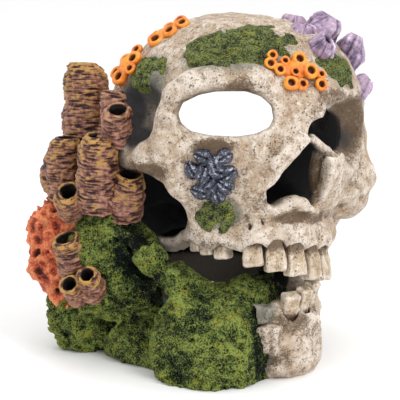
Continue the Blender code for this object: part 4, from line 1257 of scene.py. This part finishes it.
def make_barnacles():
    """Egg-shaped shells of ribbed plates that close round a slit."""
    around = 132
    angles = np.linspace(0.0, 2 * math.pi, around, endpoint=False)
    ring = circle(around)
    for number, (base, top, radius) in enumerate(BARNACLES, 1):
        base, top = np.array(base, float), np.array(top, float)
        axis, side, other, height = turned_frame(base, top)
        seed = 60 + number
        ribs = 1.0 - 1.2 * np.abs(noise_at(ring * 2.4, 0.34, seed))
        wander = 0.3 * noise_at(ring, 0.5, seed + 3)
        seams = np.exp(-((np.sin(2.5 * angles + number + wander) / 0.10) ** 2))
        slit = 1.0 + 0.42 * np.cos(2 * angles + number)
        profile, heights, bores = [], [], []
        for t in np.linspace(0.0, 1.0, 52):
            shape = math.sqrt(max(1.0 - ((t - 0.45) / 0.62) ** 2, 0.05)) * 1.06
            squeeze = 1.0 + (slit - 1.0) * step(t, 0.55, 1.0)
            level = circle(around, radius, t * height)
            rough = noise_at(level, (1.3, 1.3, 0.9), seed + 20)
            lumps = noise_at(level, 3.2, seed + 30)
            grow = 0.14 * ribs - 0.45 * seams * step(t, 0.1, 0.5) + 0.14 * rough + 0.45 * lumps
            profile.append((radius * shape * squeeze + grow, height * t))
            # painted light and shade: the shells lighten toward the top and darken toward the foot
            heights.append(0.48 + 0.12 * ribs - 0.40 * seams + 0.10 * rough + 0.36 * (t - 0.4) + 0.10 * lumps)
            bores.append(np.zeros(around))
        for t in np.linspace(0.0, 1.0, 12)[1:]:
            mouth = radius * (0.44 - 0.30 * t) * slit * (1 - 0.35 * t)
            profile.append((mouth + 0.2 * ribs * (1 - t), height * (1.0 - 0.28 * t)))
            heights.append(0.75 - 0.6 * t + 0.2 * ribs)
            bores.append(np.full(around, step(t, 0.1, 0.5)))
        for t in np.linspace(0.0, 1.0, 6)[1:]:
            profile.append((radius * 0.09 * (1 - t) * slit + 0.01, height * (0.72 + 0.12 * t)))
            heights.append(np.full(around, 0.8))
            bores.append(np.full(around, 0.25))
        points, faces = swept_skin(profile, around, lambda h: base + axis * h, (side, other))
        paints = {"height": np.concatenate(heights), "bore": np.concatenate(bores)}
        shell = mesh_object(f"barnacle_shell_{number}", points, faces, BARNACLE, paints)
        place(shell, f"barnacle_{number}")


# ---------------------------------------------------------------- polyps, mussels, moss pads


CROWN_POLYPS = (
    ((-26.4, 8.6, 123.6), 3.4), ((-23.0, 13.6, 124.4), 2.4), ((-22.4, 5.4, 126.8), 3.0),
    ((-18.6, 10.0, 127.6), 2.7), ((-16.6, 5.2, 129.4), 2.9), ((-14.4, 9.4, 130.0), 2.6),
)  # fmt: skip
TEMPLE_POLYPS = (
    ((-34.2, 12.2, 116.6), 3.4), ((-33.2, 18.0, 115.4), 3.0), ((-29.4, 16.6, 119.2), 2.5),
    ((-39.2, 14.0, 110.0), 3.6), ((-37.0, 19.6, 111.0), 2.8), ((-38.0, 9.0, 113.6), 2.4),
)  # fmt: skip
BROW_POLYPS = (
    ((-8.0, -36.4, 120.6), 2.1), ((-11.4, -39.4, 118.2), 2.4), ((-4.6, -39.4, 118.6), 1.9),
    ((1.8, -39.8, 118.8), 3.1), ((-8.6, -41.4, 116.0), 2.3), ((-2.8, -43.0, 115.0), 2.1),
    ((4.0, -43.4, 114.8), 3.3), ((-6.4, -44.8, 111.4), 2.9), ((-1.8, -45.8, 110.8), 2.4),
    ((6.6, -46.4, 110.0), 2.6), ((8.4, -44.4, 113.4), 2.0),
)  # fmt: skip


CUP_LEAN = 0.55 * np.array((-0.60, -0.77, 0.2))  # the cups lean this way from square to the bone


def make_polyp_patch(name, node, cups, inside, middle, spread, seed):
    """Cups on a shared mat. They face away from the point inside the skull, and lean."""
    feet = np.array([foot for foot, _ in cups])
    grid = Grid(feet.min(0) - 9.0, feet.max(0) + 9.0, 0.34)
    d = add(grid, grid.empty(), [blob(middle, spread)], 1.5)
    x, y, z = grid.coordinates()
    hole = grid.empty()
    for foot, r in cups:
        foot = np.array(foot)
        out = foot - inside
        out = out / np.linalg.norm(out) + CUP_LEAN
        out /= np.linalg.norm(out)
        h = along((x, y, z), foot, out)
        from_foot = (x - foot[0]) ** 2 + (y - foot[1]) ** 2 + (z - foot[2]) ** 2
        rho = np.sqrt(np.maximum(from_foot - h * h, 0.0))
        ring = np.hypot(rho - 0.66 * r, h - 2.0) - 0.34 * r
        stalk = np.maximum(rho - 0.84 * r + 0.1 * h, np.abs(h + 0.3) - 2.3)
        cup = smooth_min(ring, stalk, 0.8).astype(np.float32)
        d = smooth_min(d, cup, 0.6)
        well = np.maximum(rho - 0.42 * r, 0.4 - h)
        hole = np.minimum(hole, well.astype(np.float32))
    d += 0.10 * grid.noise(1.6, seed)
    d = cut(d, hole, 0.5)
    edge = -blur(d, 3) / 1.2

    def paint(points):
        inner = step(-grid.sample(hole, points), -0.45, 0.15)
        tint = np.clip(0.5 + 0.5 * noise_at(points, 3.0, seed + 1), 0.0, 1.0)
        return {"cavity": grid.sample(edge, points), "bore": inner, "yellow": tint}

    place(skin(name, grid, d, POLYP, paint), node)


def make_polyps():
    inside = np.array(DOME_CENTRE, float)
    lower = inside - (0, 0, 10)
    make_polyp_patch("crown_cups", "crown_polyps", CROWN_POLYPS, lower, (-20.5, 8.6, 125.6), (6.5, 5, 4), 71)
    spread = (4.5, 5.5, 6)
    make_polyp_patch("temple_cups", "temple_polyps", TEMPLE_POLYPS, lower, (-35, 14.5, 113), spread, 73)
    make_polyp_patch("brow_cups", "brow_polyps", BROW_POLYPS, inside, (-1, -40.0, 114.2), (9, 4.5, 5), 75)


MUSSELS = (
    ((-37.6, -33.2, 86.6), 20), ((-32.2, -38.4, 86.6), -30), ((-34.8, -36.6, 84.2), 75),
    ((-40.4, -30.4, 81.6), 60), ((-37.4, -33.0, 81.0), 110), ((-34.2, -36.2, 81.4), 15),
    ((-30.6, -39.2, 80.2), -35), ((-35.8, -33.8, 77.2), -50), ((-31.0, -38.0, 75.8), 35),
    ((-37.4, -31.0, 73.4), 20), ((-32.4, -35.2, 72.4), 70),
)  # fmt: skip


def make_mussels():
    """Shells with a keel along the middle, overlapping on a shared mat."""
    grid = Grid((-47, -45, 63), (-23, -24, 94), 0.3)
    d = add(grid, grid.empty(), [blob((-34.2, -32.8, 79.4), (6.2, 3.6, 9.5), (0, 0, -50))], 1.0)
    out = np.array((-0.62, -0.78, 0.08))
    out /= np.linalg.norm(out)
    level = np.cross(out, (0.0, 0.0, 1.0))
    level /= np.linalg.norm(level)
    upright = np.cross(level, out)
    crown = np.full(grid.shape, -1.0, np.float32)
    for number, (middle, turn) in enumerate(MUSSELS):
        c, s = math.cos(math.radians(turn)), math.sin(math.radians(turn))
        long_axis, cross_axis = c * level + s * upright, -s * level + c * upright
        a, b, n = (along(grid.coordinates(), middle, axis) for axis in (long_axis, cross_axis, out))
        n = n - 0.35 * (number % 3)
        width = 2.9 * (1.0 - 0.08 * a)
        r = np.sqrt((a / 3.7) ** 2 + (b / width) ** 2 + (n / 3.4) ** 2)
        growth = 0.05 * np.cos(np.hypot(a - 3.2, b) * 6.0)
        shell = (r - 1.0) * 2.6 + 0.75 * np.exp(-((b / 0.28) ** 2)) + growth
        window = shell < d
        # painted highlight on the flanks beside the seam, passed on as height
        lit = 0.75 * np.exp(-(((np.abs(b) - 0.9) / 0.6) ** 2)) * np.clip(n / 2.2, 0, 1)
        crown = np.where(window, lit, crown)
        d = np.where(window, shell, d).astype(np.float32)
    edge = -blur(d, 3) / 1.0
    place(
        skin("mussels", grid, d, MUSSEL, lambda points: {
            "height": grid.sample(crown, points), "cavity": grid.sample(edge, points)}),
        "mussel_cluster",
    )  # fmt: skip


MOSS_PADS = (
    ("forehead_moss", (-14, -24, 122.5), (25, 16, 9.5)),
    ("left_brow_moss", (20, -39, 114.5), (11, 8, 8)),
    ("temple_moss", (-38, 0, 114), (6.5, 9, 8)),
    ("cheek_moss", (-30, -32, 63.5), (8, 8, 6.5)),
)


def make_moss_pads():
    """Thin ragged pads that follow the bone."""
    for number, (node, middle, spread) in enumerate(MOSS_PADS):
        low = np.array(middle, float) - spread - 3
        high = np.array(middle, float) + spread + 3
        grid = Grid(low, high, 0.45)
        bone = skull_outside(grid)
        relief = moss_relief(grid, 80 + 4 * number)
        ragged = 0.9 * grid.noise(2.2, 82 + 4 * number)
        patch = distance(blob(middle, spread), *grid.coordinates()) + ragged
        thick = 1.2 * step(-patch, 0.0, 3.5) + 0.15
        d = np.maximum(bone - thick - 0.45 * relief * step(-patch, -0.5, 2.0), patch)
        d = np.maximum(d, -bone - 2.5).astype(np.float32)
        place(
            skin(node + "_tufts", grid, d, FINE_MOSS, lambda points: {
                "height": 0.52 + 0.20 * grid.sample(relief, points),
                "black": np.zeros(len(points)), "resin": np.zeros(len(points))}),
            node,
        )  # fmt: skip


# ---------------------------------------------------------------- carried-over air fittings


def finish_fittings():
    """Materials for the pieces of the air line, which keep their CAD shapes."""
    plastic = moulded_paint("air_plastic", (0.020, 0.020, 0.022), (0.045, 0.045, 0.048), 0.35, 1.2, 0.05)
    rubber = moulded_paint("grommet_rubber", (0.012, 0.012, 0.012), (0.030, 0.030, 0.030), 0.62, 0.8, 0.06)
    hose = moulded_paint("air_hose", (0.24, 0.31, 0.31), (0.32, 0.38, 0.38), 0.28, 2.5, 0.03)
    stone = moulded_paint("air_stone", (0.09, 0.15, 0.22), (0.24, 0.32, 0.40), 0.85, 0.45, 0.4)
    for node, material in (
        ("air_inlet", plastic), ("stone_nipple", plastic), ("inlet_grommet", rubber),
        ("inner_hose", hose), ("air_stone", stone),
    ):  # fmt: skip
        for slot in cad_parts[node].material_slots:
            slot.material = material


# ---------------------------------------------------------------- studio


FLOOR_HALF = 12.0  # half the floor's side, in metres
SKY_STRENGTH = 1.02
LIT_POINT = (0.0, 0.0, 0.06)
# name, place in metres, size and power
LAMPS = (("key", (0.05, -0.75, 0.80), 0.45, 4.5), ("top", (-0.10, 0.10, 0.95), 0.5, 1.5))

AZIMUTH, ELEVATION = math.radians(-38), math.radians(12)  # of the camera, from the front
TARGET = (-7.9, 6.2, 60.0)  # what it looks at, in millimetres from the middle of the skull
DISTANCE = 0.55
LENS, SENSOR = 123.75, 36.0


def make_studio():
    """A white floor under a white sky, with a key lamp in front and a weaker one overhead."""
    mesh = bpy.data.meshes.new("floor")
    corners = [(x * FLOOR_HALF, y * FLOOR_HALF, 0) for x, y in ((-1, -1), (1, -1), (1, 1), (-1, 1))]
    mesh.from_pydata(corners, [], [(0, 1, 2, 3)])
    floor = bpy.data.objects.new("floor", mesh)
    bpy.context.scene.collection.objects.link(floor)
    paper = Paint("paper", 0.6, 0.1)
    paper.colour(paper.ramp(paper.noise(600, 2), (0.0, (0.955, 0.955, 0.955)), (1.0, (0.965, 0.965, 0.97))))
    mesh.materials.append(paper.material)
    world = bpy.data.worlds.new("studio")
    world.use_nodes = True
    background = world.node_tree.nodes["Background"]
    background.inputs["Color"].default_value = (1.0, 1.0, 1.0, 1.0)
    background.inputs["Strength"].default_value = SKY_STRENGTH
    bpy.context.scene.world = world
    for name, spot, size, power in LAMPS:
        lamp = bpy.data.lights.new(name, "AREA")
        lamp.size = size
        lamp.energy = power
        light = bpy.data.objects.new(name, lamp)
        light.location = spot
        light.rotation_mode = "QUATERNION"
        light.rotation_quaternion = (Vector(LIT_POINT) - Vector(spot)).to_track_quat("-Z", "Y")
        bpy.context.scene.collection.objects.link(light)
    bpy.context.scene.view_settings.view_transform = "Standard"


def make_camera():
    """A long lens, a little above and off to the skull's right."""
    target = (np.array(TARGET) + SHIFT) * MM
    level = math.cos(ELEVATION)
    back = np.array((math.sin(AZIMUTH) * level, -math.cos(AZIMUTH) * level, math.sin(ELEVATION)))
    data = bpy.data.cameras.new("camera")
    data.sensor_width = SENSOR
    data.lens = LENS
    data.clip_start = 0.01
    camera = bpy.data.objects.new("camera", data)
    camera.location = Vector(target + DISTANCE * back)
    camera.rotation_mode = "QUATERNION"
    camera.rotation_quaternion = Vector(-back).to_track_quat("-Z", "Y")
    bpy.context.scene.collection.objects.link(camera)
    bpy.context.scene.camera = camera


make_camera()
make_studio()
make_skull()
make_jaw()
make_base()
make_teeth()
make_tubes()
make_orange_sponge()
make_barnacles()
make_polyps()
make_mussels()
make_moss_pads()
finish_fittings()
